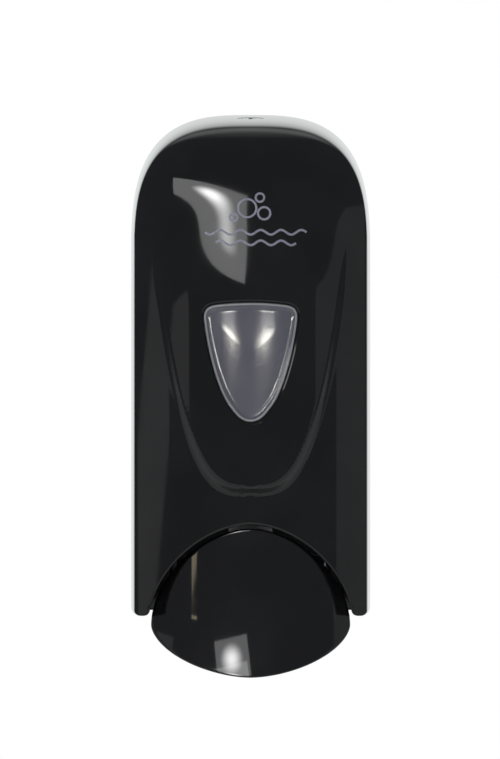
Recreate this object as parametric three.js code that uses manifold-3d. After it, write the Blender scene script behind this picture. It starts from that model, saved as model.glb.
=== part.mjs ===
// Wall mounted soap dispenser: a hinged cover with a window, and a push lever that works a foam pump.
// Millimetres, +Z up. The wall is the plane y = 0 and the dispenser stands out from it towards -Y.
// "Depth" is the distance out from the wall, so y = -depth. Heights count up from the lever's
// lowest point, and the last group moves the origin to the middle of the wall plate's back face.
import * as THREE from 'three';
import { mergeVertices } from 'three/addons/utils/BufferGeometryUtils.js';
import loadManifold from 'manifold-3d';

const wasm = await loadManifold();
wasm.setup();

// ---- Driving dimensions -------------------------------------------------------------------------
const ORIGIN_HEIGHT = 146;
const GAP = 0.3;
const ROUND = 20;
const SMALL_ROUND = 10;
const SIDES = [['left', -1], ['right', 1]];

const COVER = {
  halfWidth: 57.15, top: 267.4, faceHalfWidth: 55.1, faceTop: 260.3,
  shoulder: 198, bottom: 29.2, back: 1.5, wall: 2.6, cornerRadius: 3,
  edgeDepthLow: 82, edgeDepthHigh: 70, crown: 15, centreHeight: 150,
};
const BULGE = { height: 4.8, halfWidth: 46, tip: 86, step: 10, fadeLow: 176, fadeHigh: 238 };
const ARCH = { halfWidth: 48.5, base: 25, apex: 72.4, power: 1.8 };
const LEVER = {
  halfWidth: 47.2, apex: 70.6, bottomPower: 1.75, wall: 2.4, sweepGap: 1,
  topDepth: 87, flare: 3.3, flareHeight: 30, crown: 12,
};
const HINGE = { depth: 9, height: 37, pin: 2, lug: 5.5, boss: 6.5, heel: 7.8 };
const PIVOT = { depth: 72, height: 78, axle: 2, boss: 6 };
const PLATE = { halfWidth: 53, footHalfWidth: 49.5, top: 260, bottom: 31, thick: 3, rim: 11, rimWall: 2 };
const TAPE = { inner: 14, outer: 30, low: 120, high: 200, thick: 1.1 };
const WALL_SLOTS = [[-38, 222], [38, 222], [-38, 68], [38, 68]];
const SHELF = {
  halfWidth: 43, cheek: 3, low: 97, high: 100.5, back: 6.3, front: 66, flangeLow: 80, slotRadius: 11.4,
};
const SHELF_SCREW = { x: 30, height: 89.5 };
const PUMP_DEPTH = 40;
const POUCH = { low: 104.6, high: 239.5, halfWidth: 50, halfDepth: 37.5, depth: 45.5 };
const ARM = { inner: 34.5, outer: 38 };
const FORK = {
  depth: 61, halfDepth: 3.5, height: 54, low: 48, high: 57.5,
  prongInner: 8.7, prongOuter: 12.7, prongBack: 34, prongThick: 3, nub: 2,
};
const LOCK = {
  depth: 33, barrel: 6, barrelLow: 249.6, barrelTop: 265.2, boss: 9.2, bossLow: 253, bossHigh: 262.5,
  keySlotHalfWidth: 0.9, keySlotHalfLength: 4, keySlotLow: 261.5,
};
const CAM = { low: 247, high: 249.3, hookHigh: 252.5, hook: 3, halfWidth: 3.5, disc: 8, reach: 22 };
const WASHER = { radius: 9.5, low: 250.6, high: 252.6 };
const KEEPER = { halfWidth: 7, screwHeight: 245 };
const SCREW = { radius: 1.5, pilot: 1.8, bossRadius: 5, tip: 1.5 };
const FORK_SCREW = { radius: 1.2, head: 2.6, pilot: 1.5, length: 11, start: 27.4, holeInner: 25 };
const PLATE_RIB = { x: 18, halfWidth: 1, front: 6, low: 108, high: 232 };
const LENS = {
  clearance: -0.35, front: 0.7, back: 3.2, flangeSpread: 2.6, flangeFront: 2.95, flangeBack: 4.2,
};
const RETAINER = { front: 4.5, back: 6.2, spread: 5, opening: 0.8 };
const CLIP = { radius: 4.6, inner: 43.4, outer: 44.4 };
const LEVER_SPRING = {
  coil: 4, pitch: 1.7, turns: 4, perTurn: 8, start: 32, wire: 0.55, top: 94.5, foot: 64.5,
};
const PUMP_SPRING = { coil: 6.4, turns: 5, perTurn: 8, low: 70.6, high: 82.2, wire: 0.5 };
const FOAM_MESH = { radius: 6, thick: 0.8, upper: 46.5, lower: 39.2 };
const INLET_BALL = { radius: 3.2, height: 88.6 };
const THROUGH_FACE = [60, 120];

// ---- Solids -------------------------------------------------------------------------------------
function solidOf(geometry) {
  const bare = geometry.clone();
  bare.deleteAttribute('normal');
  bare.deleteAttribute('uv');
  const merged = mergeVertices(bare, 1e-4);
  const corners = merged.index.array;
  const kept = [];
  for (let i = 0; i < corners.length; i += 3) {
    const [a, b, c] = [corners[i], corners[i + 1], corners[i + 2]];
    if (a !== b && b !== c && c !== a) kept.push(a, b, c);
  }
  const vertProperties = new Float32Array(merged.attributes.position.array);
  if (signedVolume(vertProperties, kept) < 0) kept.reverse();
  const triVerts = new Uint32Array(kept);
  return new wasm.Manifold(new wasm.Mesh({ numProp: 3, vertProperties, triVerts }));
}

function signedVolume(positions, corners) {
  const [a, b, c] = [new THREE.Vector3(), new THREE.Vector3(), new THREE.Vector3()];
  let sum = 0;
  for (let i = 0; i < corners.length; i += 3) {
    a.fromArray(positions, 3 * corners[i]);
    b.fromArray(positions, 3 * corners[i + 1]);
    c.fromArray(positions, 3 * corners[i + 2]);
    sum += a.dot(b.cross(c)) / 6;
  }
  return sum;
}

function geometryOf(body) {
  const mesh = body.getMesh();
  const geometry = new THREE.BufferGeometry();
  geometry.setAttribute('position', new THREE.BufferAttribute(mesh.vertProperties, 3));
  geometry.setIndex(new THREE.BufferAttribute(mesh.triVerts, 1));
  geometry.computeVertexNormals();
  return geometry;
}

const join = (...bodies) => bodies.reduce((whole, body) => whole.add(body));
const cut = (body, ...tools) => tools.reduce((rest, tool) => rest.subtract(tool), body);

function block(x, depth, height) {
  const box = new THREE.BoxGeometry(x[1] - x[0], depth[1] - depth[0], height[1] - height[0]);
  box.translate((x[0] + x[1]) / 2, -(depth[0] + depth[1]) / 2, (height[0] + height[1]) / 2);
  return solidOf(box);
}

// A round bar along X, along the height, or straight out from the wall.
function barAlongX(radius, x, depth, height, sides = ROUND) {
  const bar = new THREE.CylinderGeometry(radius, radius, x[1] - x[0], sides);
  bar.rotateZ(Math.PI / 2);
  bar.translate((x[0] + x[1]) / 2, -depth, height);
  return solidOf(bar);
}

function barUpright(radius, heights, x, depth, sides = ROUND) {
  const bar = new THREE.CylinderGeometry(radius, radius, heights[1] - heights[0], sides);
  bar.rotateX(Math.PI / 2);
  bar.translate(x, -depth, (heights[0] + heights[1]) / 2);
  return solidOf(bar);
}

function barOutward(radius, depths, x, height, sides = ROUND) {
  const bar = new THREE.CylinderGeometry(radius, radius, depths[1] - depths[0], sides);
  bar.translate(x, -(depths[0] + depths[1]) / 2, height);
  return solidOf(bar);
}

// A turned piece about an upright axis; the profile is a list of [radius, height].
function turned(profile, x = 0, depth = PUMP_DEPTH, sides = ROUND) {
  const points = profile.map(([radius, height]) => new THREE.Vector2(radius, height));
  if (profile[0][0] > 0) points.push(points[0].clone());
  const lathe = new THREE.LatheGeometry(points, sides);
  lathe.rotateX(Math.PI / 2);
  lathe.translate(x, -depth, 0);
  return solidOf(lathe);
}

// A flat outline in x and height, given thickness from one depth to another.
function facePrism(shape, depths, curveSegments = 12) {
  const depth = depths[1] - depths[0];
  const prism = new THREE.ExtrudeGeometry(shape, { depth, bevelEnabled: false, curveSegments });
  prism.rotateX(Math.PI / 2);
  prism.translate(0, -depths[0], 0);
  return solidOf(prism);
}

// A side profile in depth and height, given width from one x to another.
function sidePrism(shape, x, curveSegments = 12) {
  const depth = x[1] - x[0];
  const prism = new THREE.ExtrudeGeometry(shape, { depth, bevelEnabled: false, curveSegments });
  const outward = new THREE.Vector3(0, -1, 0);
  const up = new THREE.Vector3(0, 0, 1);
  const across = new THREE.Vector3(-1, 0, 0);
  prism.applyMatrix4(new THREE.Matrix4().makeBasis(outward, up, across));
  prism.translate(x[1], 0, 0);
  return solidOf(prism);
}

function polygon(points) {
  return new THREE.Shape(points.map(([u, v]) => new THREE.Vector2(u, v)));
}

// A closed skin over rings of points that run anticlockwise as seen from the front, back ring first.
function loft(rings) {
  const count = rings[0].length;
  const points = rings.flat();
  const middle = (ring) => ring.reduce((sum, p) => sum.add(p), new THREE.Vector3()).divideScalar(count);
  points.push(middle(rings[0]), middle(rings.at(-1)));
  const [backMiddle, frontMiddle] = [points.length - 2, points.length - 1];
  const corners = [];
  for (let i = 0; i < count; i += 1) {
    const next = (i + 1) % count;
    for (let r = 0; r < rings.length - 1; r += 1) {
      const [a, b] = [r * count + i, r * count + next];
      corners.push(a, b, b + count, a, b + count, a + count);
    }
    const last = (rings.length - 1) * count;
    corners.push(backMiddle, next, i, frontMiddle, last + i, last + next);
  }
  const geometry = new THREE.BufferGeometry().setFromPoints(points);
  geometry.setIndex(corners);
  return solidOf(geometry);
}

// ---- Outlines and surfaces ----------------------------------------------------------------------
const smooth = (t) => t * t * (3 - 2 * t);
const ramp = (value, low, high) => smooth(THREE.MathUtils.clamp((value - low) / (high - low), 0, 1));

// Quarter of a rounded arch: across and up for an angle from 0 (at the side) to 90 degrees (at the top).
function archPoint(angle, halfWidth, rise, power) {
  const across = halfWidth * Math.abs(Math.cos(angle)) ** (2 / power) * Math.sign(Math.cos(angle));
  return [across, rise * Math.abs(Math.sin(angle)) ** (2 / power) * Math.sign(Math.sin(angle))];
}

// Straight-sided outline under a rounded top, from the bottom left corner round to the left side.
function coverOutline(halfWidth, top, bottom) {
  const steps = { bottom: 6, corner: 2, side: 6, arch: 26 };
  const radius = COVER.cornerRadius;
  const points = [];
  const corner = (sign, from) => {
    for (let i = 0; i <= steps.corner; i += 1) {
      const angle = from + (i / steps.corner) * Math.PI / 2;
      const x = sign * (halfWidth - radius) + radius * Math.cos(angle);
      points.push([x, bottom + radius + radius * Math.sin(angle)]);
    }
  };
  const side = (x, from, to) => {
    for (let i = 1; i < steps.side; i += 1) points.push([x, from + (to - from) * i / steps.side]);
  };
  corner(-1, Math.PI);
  for (let i = 1; i < steps.bottom; i += 1) {
    points.push([(halfWidth - radius) * (2 * i / steps.bottom - 1), bottom]);
  }
  corner(1, 1.5 * Math.PI);
  side(halfWidth, bottom + radius, COVER.shoulder);
  for (let i = 0; i <= steps.arch; i += 1) {
    const [x, rise] = archPoint(Math.PI * i / steps.arch, halfWidth, top - COVER.shoulder, 3);
    points.push([x, COVER.shoulder + rise]);
  }
  side(-halfWidth, COVER.shoulder, bottom + radius);
  return points;
}

// Height of the raised tongue's lower edge above a point across the cover.
const tongueEdge = (x) => BULGE.tip + 14 * (Math.abs(x) / 25) ** 3.17;

// Depth of the cover's front face: a crowned face with a raised tongue that dies away upwards.
function faceDepth(x, height) {
  const rise = (height - COVER.bottom) / (COVER.faceTop - COVER.bottom);
  const edge = THREE.MathUtils.lerp(COVER.edgeDepthLow, COVER.edgeDepthHigh, rise);
  const across = Math.min(1, Math.abs(x) / COVER.faceHalfWidth) ** 2.4;
  const up = Math.max(0, (height - COVER.shoulder) / (COVER.faceTop - COVER.shoulder)) ** 5;
  const crown = COVER.crown * Math.max(0, 1 - across - up);
  const slope = 14 * 3.17 / 25 * (Math.abs(x) / 25) ** 2.17;
  const inside = (height - tongueEdge(x)) / Math.hypot(1, slope);
  const fade = 1 - ramp(height, BULGE.fadeLow, BULGE.fadeHigh);
  const spread = 1 - (Math.abs(x) / BULGE.halfWidth) ** 2.2;
  return edge + crown + BULGE.height * ramp(inside, 0, BULGE.step) * fade * Math.max(0, spread);
}

// The cover's outer body, or that body drawn in by an inset on every side but the bottom and back.
function coverBody(inset, bottom = COVER.bottom, back = COVER.back) {
  const ring = (halfWidth, top, scale, depthAt) => coverOutline(halfWidth, top, bottom).map(([x, h]) => {
    const [u, v] = [x * scale, COVER.centreHeight + (h - COVER.centreHeight) * scale];
    return new THREE.Vector3(u, -depthAt(u, v), v);
  });
  const wide = COVER.halfWidth - inset;
  const face = COVER.faceHalfWidth - inset;
  const [top, faceTop] = [COVER.top - inset, COVER.faceTop - inset];
  const edge = (drop) => (x, h) => faceDepth(x, h) - inset - drop;
  const rings = [ring(wide, top, 1, () => back)];
  const [midway, bow] = [0.5, 0.68];
  rings.push(ring(face + (wide - face) * bow, faceTop + (top - faceTop) * bow, 1,
    (x, h) => edge(2)(x, h) * midway));
  rings.push(ring(face + 0.3, faceTop + 0.8, 1, edge(2.2)));
  rings.push(ring(face - 0.2, faceTop - 0.2, 1, edge(0.7)));
  for (const scale of [0.975, 0.9, 0.81, 0.72, 0.62, 0.52, 0.41, 0.3, 0.18, 0.07]) {
    rings.push(ring(face, faceTop, scale, edge(0)));
  }
  return loft(rings);
}

function archHeight(x) {
  const across = Math.min(1, Math.abs(x) / ARCH.halfWidth) ** ARCH.power;
  return ARCH.base + (ARCH.apex - ARCH.base) * (1 - across) ** (1 / ARCH.power);
}

function archShape() {
  const points = [[ARCH.halfWidth, 0], [ARCH.halfWidth, ARCH.base]];
  const steps = 30;
  for (let i = 1; i < steps; i += 1) {
    const angle = Math.PI * i / steps;
    const [x, rise] = archPoint(angle, ARCH.halfWidth, ARCH.apex - ARCH.base, ARCH.power);
    points.push([x, ARCH.base + rise]);
  }
  points.push([-ARCH.halfWidth, ARCH.base], [-ARCH.halfWidth, 0]);
  return polygon(points);
}

// Shield-shaped window, grown or shrunk by an offset.
function windowShape(offset = 0) {
  const middle = 150;
  const spread = (x) => x * (1 + offset / 21);
  const lift = (h) => middle + (h - middle) * (1 + offset / 28);
  const half = new THREE.CurvePath();
  const p = (x, h) => new THREE.Vector2(spread(x), lift(h));
  half.add(new THREE.CubicBezierCurve(p(0, 120.7), p(3.2, 120.7), p(6, 122.4), p(9, 126.6)));
  half.add(new THREE.CubicBezierCurve(p(9, 126.6), p(15.5, 134), p(20.5, 153), p(22.3, 168.6)));
  half.add(new THREE.CubicBezierCurve(p(22.3, 168.6), p(23.1, 174.2), p(20.5, 176.1), p(16.5, 176.6)));
  half.add(new THREE.QuadraticBezierCurve(p(16.5, 176.6), p(7, 177.6), p(0, 177.6)));
  const right = half.getPoints(5);
  const left = right.slice(1, -1).reverse().map((q) => new THREE.Vector2(-q.x, q.y));
  return new THREE.Shape([...right, ...left]);
}

// Depth of the lever's face, which flares out towards its foot. It stays far enough back for the
// opening cover's arch to pass over it.
function leverDepth(x, height) {
  const edge = archHeight(x);
  const reach = Math.hypot(faceDepth(x, edge) - COVER.wall - HINGE.depth, edge - HINGE.height);
  const limit = HINGE.depth + Math.sqrt((reach - LEVER.sweepGap) ** 2 - (height - HINGE.height) ** 2);
  const flare = LEVER.flare * Math.max(0, 1 - height / LEVER.flareHeight) ** 2;
  return Math.min(limit, LEVER.topDepth + flare - LEVER.crown * (x / LEVER.halfWidth) ** 2);
}

function leverBody(inset, skirtExtra = 0) {
  const steps = 40;
  const outline = (scale) => Array.from({ length: steps }, (_, i) => {
    const angle = 2 * Math.PI * i / steps;
    const upper = i <= steps / 2;
    const rise = upper ? LEVER.apex - ARCH.base - inset : ARCH.base - inset;
    const power = upper ? ARCH.power : LEVER.bottomPower;
    const [x, up] = archPoint(angle, LEVER.halfWidth - inset, rise, power);
    return [x * scale, ARCH.base + up * scale];
  });
  const ring = (scale, drop) => outline(scale).map(([x, h]) => {
    return new THREE.Vector3(x, -(leverDepth(x, h) - inset - drop(h)), h);
  });
  const skirt = (h) => 5 + 3 * h / LEVER.apex + skirtExtra;
  const rings = [ring(1, skirt), ring(1, () => 0.9), ring(0.988, () => 0.2), ring(0.97, () => 0)];
  for (const scale of [0.88, 0.76, 0.62, 0.46, 0.29, 0.12]) rings.push(ring(scale, () => 0));
  return loft(rings);
}

// A pan head screw along +Z: the shank starts at the origin and the head is on its top end.
function panScrew(shank, radius, headRadius = 2 * radius) {
  const profile = [[0, 0], [radius, 0], [radius, shank], [headRadius, shank]];
  profile.push([headRadius, shank + 1], [headRadius * 0.6, shank + 2], [0, shank + 2.2]);
  return turned(profile, 0, 0, SMALL_ROUND);
}

// ---- Finishes and assembly ----------------------------------------------------------------------
function finish(color, roughness, metalness = 0) {
  return new THREE.MeshStandardMaterial({ color, roughness, metalness });
}
const GLOSS_BLACK = finish(0x141416, 0.12);
const BLACK_PLASTIC = finish(0x1b1b1d, 0.5);
const GREY_PLASTIC = finish(0x8d9093, 0.5);
const WHITE_PLASTIC = finish(0xe6e7e4, 0.4);
const CLEAR_PLASTIC = finish(0x8f8d9a, 0.1);
const FILM = finish(0xd9dee6, 0.25);
const STEEL = finish(0xb6b8ba, 0.3, 1);
const RUBBER = finish(0x2a2a2a, 0.8);
const FOAM_TAPE = finish(0xdedbd0, 0.9);

const dispenser = new THREE.Group();
dispenser.position.z = -ORIGIN_HEIGHT;

function place(name, body, material, parent = dispenser) {
  const mesh = new THREE.Mesh(geometryOf(body), material);
  mesh.name = name;
  parent.add(mesh);
  return mesh;
}

function plateShape(inset) {
  const half = PLATE.halfWidth - inset;
  const foot = PLATE.footHalfWidth - inset;
  const low = PLATE.bottom + inset;
  const points = [[-foot, low], [foot, low], [foot, 48], [half, 52]];
  const steps = 20;
  for (let i = 0; i <= steps; i += 1) {
    const rise = PLATE.top - inset - COVER.shoulder;
    const [x, up] = archPoint(Math.PI * i / steps, half, rise, 3);
    points.push([x, COVER.shoulder + up]);
  }
  points.push([-half, 52], [-foot, 48]);
  return polygon(points);
}

function obround(x, height, width, length) {
  const [r, straight] = [width / 2, (length - width) / 2];
  const shape = new THREE.Shape();
  shape.absarc(x, height + straight, r, 0, Math.PI);
  shape.absarc(x, height - straight, r, Math.PI, 2 * Math.PI);
  return shape;
}

function tapePocket(sign, spare) {
  const x = [sign * (TAPE.inner - spare), sign * (TAPE.outer + spare)].sort((a, b) => a - b);
  return { x, height: [TAPE.low - spare, TAPE.high + spare] };
}

function wallPlate() {
  const lug = new THREE.Shape();
  lug.moveTo(2, HINGE.height - HINGE.lug);
  lug.absarc(HINGE.depth, HINGE.height, HINGE.lug, -Math.PI / 2, Math.PI / 2);
  lug.lineTo(2, HINGE.height + HINGE.lug);
  const dish = cut(facePrism(plateShape(0), [0, PLATE.rim]),
    facePrism(plateShape(PLATE.rimWall), [PLATE.thick, PLATE.rim + 1]));
  const inPlate = PLATE.thick - 1;
  let plate = dish;
  for (const [, sign] of SIDES) {
    const lugX = [sign * 43, sign * PLATE.footHalfWidth].sort((a, b) => a - b);
    plate = join(plate, sidePrism(lug, lugX, 8));
    const ribX = [sign * PLATE_RIB.x - PLATE_RIB.halfWidth, sign * PLATE_RIB.x + PLATE_RIB.halfWidth];
    plate = join(plate, block(ribX, [inPlate, PLATE_RIB.front], [PLATE_RIB.low, PLATE_RIB.high]));
    plate = join(plate, barOutward(SCREW.bossRadius, [inPlate, SHELF.back - GAP],
      sign * SHELF_SCREW.x, SHELF_SCREW.height));
    const pocket = tapePocket(sign, GAP);
    plate = cut(plate, block(pocket.x, [-1, TAPE.thick + GAP], pocket.height),
      barOutward(SCREW.pilot, [1, 8], sign * SHELF_SCREW.x, SHELF_SCREW.height),
      barAlongX(HINGE.pin + GAP, [Math.min(sign * 41, sign * 52), Math.max(sign * 41, sign * 52)],
        HINGE.depth, HINGE.height));
  }
  plate = join(plate, barOutward(SCREW.bossRadius, [inPlate, PLATE_RIB.front], 0, KEEPER.screwHeight));
  plate = cut(plate, barOutward(SCREW.pilot, [1, 8], 0, KEEPER.screwHeight));
  for (const [x, height] of WALL_SLOTS) {
    plate = cut(plate, facePrism(obround(x, height, 5, 11), [-1, 5], 5));
  }
  return plate;
}

function foamTape(sign) {
  const pocket = tapePocket(sign, 0);
  return block(pocket.x, [0, TAPE.thick], pocket.height);
}

function pumpShelf() {
  const { halfWidth: half, back, front, slotRadius } = SHELF;
  const floor = block([-half, half], [back, front], [SHELF.low, SHELF.high]);
  const flange = block([-half, half], [back, back + 3], [SHELF.flangeLow, SHELF.high]);
  const cheek = new THREE.Shape();
  cheek.moveTo(back, SHELF.high);
  cheek.lineTo(front, SHELF.high);
  cheek.lineTo(PIVOT.depth + PIVOT.boss, PIVOT.height + 8);
  cheek.absarc(PIVOT.depth, PIVOT.height, PIVOT.boss, 0, -0.8 * Math.PI, true);
  cheek.lineTo(24, SHELF.flangeLow);
  cheek.lineTo(back, SHELF.flangeLow);
  let shelf = join(floor, flange);
  for (const [, sign] of SIDES) {
    const x = [sign * (half - SHELF.cheek), sign * half].sort((a, b) => a - b);
    shelf = join(shelf, sidePrism(cheek, x));
    shelf = cut(shelf, barOutward(SCREW.pilot, [0, 20], sign * SHELF_SCREW.x, SHELF_SCREW.height));
  }
  const slot = block([-slotRadius, slotRadius], [PUMP_DEPTH, front + 1], [SHELF.low - 1, SHELF.high + 1]);
  return cut(shelf, slot, barUpright(slotRadius, [SHELF.low - 1, SHELF.high + 1], 0, PUMP_DEPTH),
    barAlongX(PIVOT.axle + GAP, [-60, 60], PIVOT.depth, PIVOT.height));
}

function latchKeeper() {
  const { back } = SHELF;
  const profile = polygon([[back, 239], [7.8, 239], [7.8, 254.5], [16.5, 254.5], [16.5, 250],
    [18, 250], [18, 256], [back, 256]]);
  const bracket = sidePrism(profile, [-KEEPER.halfWidth, KEEPER.halfWidth]);
  return cut(bracket, barOutward(SCREW.pilot, [0, 12], 0, KEEPER.screwHeight));
}

function axleClip(sign) {
  const ring = cut(barAlongX(CLIP.radius, [CLIP.inner, CLIP.outer], PIVOT.depth, PIVOT.height),
    barAlongX(PIVOT.axle + GAP, [CLIP.inner - 1, CLIP.outer + 1], PIVOT.depth, PIVOT.height));
  return sign > 0 ? ring : ring.mirror([1, 0, 0]);
}

function wire(points, radius, steps, sides = 6) {
  const section = new THREE.Shape(Array.from({ length: sides }, (_, i) => {
    const angle = 2 * Math.PI * i / sides;
    return new THREE.Vector2(radius * Math.cos(angle), radius * Math.sin(angle));
  }));
  const extrudePath = new THREE.CatmullRomCurve3(points);
  return solidOf(new THREE.ExtrudeGeometry(section, { steps, extrudePath }));
}

// Torsion spring round the axle, with one leg up to the shelf and one forward to the lever.
function leverSpring(sign) {
  const { turns, perTurn, coil, pitch, start } = LEVER_SPRING;
  const points = [new THREE.Vector3(start * sign, -(PIVOT.depth - coil), LEVER_SPRING.top)];
  for (let i = 0; i <= turns * perTurn; i += 1) {
    const angle = Math.PI + 2 * Math.PI * i / perTurn;
    const x = sign * (start - pitch * i / perTurn);
    const depth = PIVOT.depth + coil * Math.cos(angle);
    points.push(new THREE.Vector3(x, -depth, PIVOT.height + coil * Math.sin(angle)));
  }
  const legX = sign * (start - pitch * turns);
  points.push(new THREE.Vector3(legX, -(PIVOT.depth - coil + 1), LEVER_SPRING.foot));
  return wire(points, LEVER_SPRING.wire, turns * perTurn + 8, 5);
}

function soapPouch() {
  const sections = [[0, 0.72, 0.6], [0.035, 0.86, 0.82], [0.1, 0.95, 0.94], [0.28, 1, 1], [0.55, 1, 1],
    [0.75, 0.98, 0.92], [0.88, 0.95, 0.68], [0.96, 0.91, 0.32], [1, 0.88, 0.06]];
  const steps = 32;
  const rings = sections.map(([t, wide, deep]) => Array.from({ length: steps }, (_, i) => {
    const [x, y] = archPoint(2 * Math.PI * i / steps, POUCH.halfWidth * wide, POUCH.halfDepth * deep, 2.6);
    return new THREE.Vector3(x, -POUCH.depth + y, POUCH.low + (POUCH.high - POUCH.low) * t);
  }));
  return loft(rings);
}

function pouchSpout() {
  return turned([[8, 88], [11, 88], [11, 101.2], [19, 101.2], [19, 104.2], [8, 104.2]]);
}

function pumpCollar() {
  return turned([[10.7, 84.3], [14.5, 84.3], [14.5, 96.4], [11.3, 96.4], [11.3, 86.3], [10.7, 86.3]]);
}

function pumpBody() {
  return turned([[8.6, 65], [10.4, 65], [10.4, 86.6], [11, 86.6], [11, 87.7], [7.7, 87.7], [7.7, 97],
    [2.6, 97], [2.6, 93], [4.2, 93], [4.2, 85], [2.2, 85], [2.2, 83], [8.6, 83]]);
}

function inletBall() {
  const ball = new THREE.SphereGeometry(INLET_BALL.radius, 16, 10);
  ball.rotateX(Math.PI / 2);
  ball.translate(0, -PUMP_DEPTH, INLET_BALL.height);
  return solidOf(ball);
}

function pumpSpring() {
  const { turns, perTurn, coil, low, high } = PUMP_SPRING;
  const points = Array.from({ length: turns * perTurn + 1 }, (_, i) => {
    const angle = 2 * Math.PI * i / perTurn;
    const height = low + (high - low) * i / (turns * perTurn);
    return new THREE.Vector3(coil * Math.cos(angle), coil * Math.sin(angle) - PUMP_DEPTH, height);
  });
  return wire(points, PUMP_SPRING.wire, turns * perTurn, 5);
}

function pumpPiston() {
  return turned([[1.6, 51.3], [3.6, 51.3], [3.6, 66.3], [8.3, 66.3], [8.3, 67.1], [7.2, 67.1],
    [7.2, 68.9], [8.3, 68.9], [8.3, 69.7], [1.6, 69.7]]);
}

function pistonSeal() {
  return turned([[7.4, 67.6], [7.7, 67.4], [8.3, 67.4], [8.5, 67.7], [8.5, 68.3], [8.3, 68.6],
    [7.7, 68.6], [7.4, 68.4]]);
}

function foamNozzle() {
  return turned([[4.2, 28], [5.4, 28], [6.2, 36], [7.5, 38], [7.5, 53.5], [13, 53.5], [13, 56],
    [3.9, 56], [3.9, 51], [2.6, 51], [2.6, 49.5], [6.3, 49.5], [6.3, 38.5], [4.2, 36.5]]);
}

function foamMesh(height) {
  return barUpright(FOAM_MESH.radius, [height, height + FOAM_MESH.thick], 0, PUMP_DEPTH);
}

function coverShell() {
  let shell = cut(coverBody(0), coverBody(COVER.wall, COVER.bottom - 14, -1));
  shell = cut(shell, facePrism(archShape(), [30, 120]), facePrism(windowShape(), THROUGH_FACE));
  for (const [, sign] of SIDES) {
    const bossX = [sign * 50.3, sign * 55.8].sort((a, b) => a - b);
    const holeX = [sign * 50, sign * 55.5].sort((a, b) => a - b);
    shell = join(shell, barAlongX(HINGE.boss, bossX, HINGE.depth, HINGE.height));
    shell = cut(shell, barAlongX(HINGE.pin + GAP, holeX, HINGE.depth, HINGE.height));
  }
  const heel = new THREE.Shape();
  heel.moveTo(HINGE.depth - HINGE.heel, HINGE.height);
  heel.absarc(HINGE.depth, HINGE.height, HINGE.heel, Math.PI, 1.5 * Math.PI);
  heel.lineTo(HINGE.depth, 10);
  heel.lineTo(-3, 10);
  heel.lineTo(-3, HINGE.height);
  shell = cut(shell, sidePrism(heel, [-60, 60]));
  shell = join(shell, barUpright(LOCK.boss, [LOCK.bossLow, LOCK.bossHigh], 0, LOCK.depth));
  return cut(shell, barUpright(LOCK.barrel + GAP, [250, 270], 0, LOCK.depth));
}

function windowLens() {
  const shellBetween = (outer, inner) => cut(coverBody(outer), coverBody(inner, COVER.bottom - 5, -1));
  const pane = shellBetween(LENS.front, LENS.back)
    .intersect(facePrism(windowShape(LENS.clearance), THROUGH_FACE));
  const flange = shellBetween(LENS.flangeFront, LENS.flangeBack)
    .intersect(facePrism(windowShape(LENS.flangeSpread), THROUGH_FACE));
  return join(pane, flange);
}

function windowRetainer() {
  const band = cut(coverBody(RETAINER.front), coverBody(RETAINER.back, COVER.bottom - 5, -1));
  const frame = cut(facePrism(windowShape(RETAINER.spread), THROUGH_FACE),
    facePrism(windowShape(RETAINER.opening), [50, 130]));
  return band.intersect(frame);
}

function leverBodyWithArms() {
  const shell = cut(leverBody(0), leverBody(LEVER.wall, 12));
  const arm = polygon([[66.5, 82], [66, 70], [56.5, 58.5], [56.5, 48], [64, 43], [72, 33], [78.3, 30],
    [78.3, 49], [77.5, 60], [77.6, 80]]);
  let lever = shell;
  for (const [, sign] of SIDES) {
    const x = [sign * ARM.inner, sign * ARM.outer].sort((a, b) => a - b);
    lever = join(lever, sidePrism(arm, x), barAlongX(PIVOT.boss, x, PIVOT.depth, PIVOT.height));
  }
  return cut(lever, barAlongX(PIVOT.axle + GAP, [-42, 42], PIVOT.depth, PIVOT.height),
    barAlongX(FORK_SCREW.pilot, [-42, 42], FORK.depth, FORK.height, SMALL_ROUND));
}

function liftFork() {
  const reach = ARM.inner - GAP;
  const depths = [FORK.depth - FORK.halfDepth, FORK.depth + FORK.halfDepth];
  let fork = block([-reach, reach], depths, [FORK.low, FORK.high]);
  for (const [, sign] of SIDES) {
    const x = [sign * FORK.prongInner, sign * FORK.prongOuter].sort((a, b) => a - b);
    const prongTop = FORK.low + FORK.prongThick;
    fork = join(fork, block(x, [FORK.prongBack, FORK.depth], [FORK.low, prongTop]),
      barAlongX(FORK.nub, x, PUMP_DEPTH, prongTop));
    const hole = [sign * FORK_SCREW.holeInner, sign * (reach + 1)].sort((a, b) => a - b);
    fork = cut(fork, barAlongX(FORK_SCREW.pilot, hole, FORK.depth, FORK.height, SMALL_ROUND));
  }
  return fork;
}

function lockBarrel() {
  const barrel = barUpright(LOCK.barrel, [LOCK.barrelLow, LOCK.barrelTop], 0, LOCK.depth);
  const keySlot = block([-LOCK.keySlotHalfWidth, LOCK.keySlotHalfWidth],
    [LOCK.depth - LOCK.keySlotHalfLength, LOCK.depth + LOCK.keySlotHalfLength],
    [LOCK.keySlotLow, LOCK.barrelTop + 1]);
  return cut(barrel, keySlot, barUpright(SCREW.pilot, [LOCK.barrelLow - 1, 257], 0, LOCK.depth));
}

function lockWasher() {
  return cut(barUpright(WASHER.radius, [WASHER.low, WASHER.high], 0, LOCK.depth),
    barUpright(LOCK.barrel + GAP, [WASHER.low - 1, WASHER.high + 1], 0, LOCK.depth));
}

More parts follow.
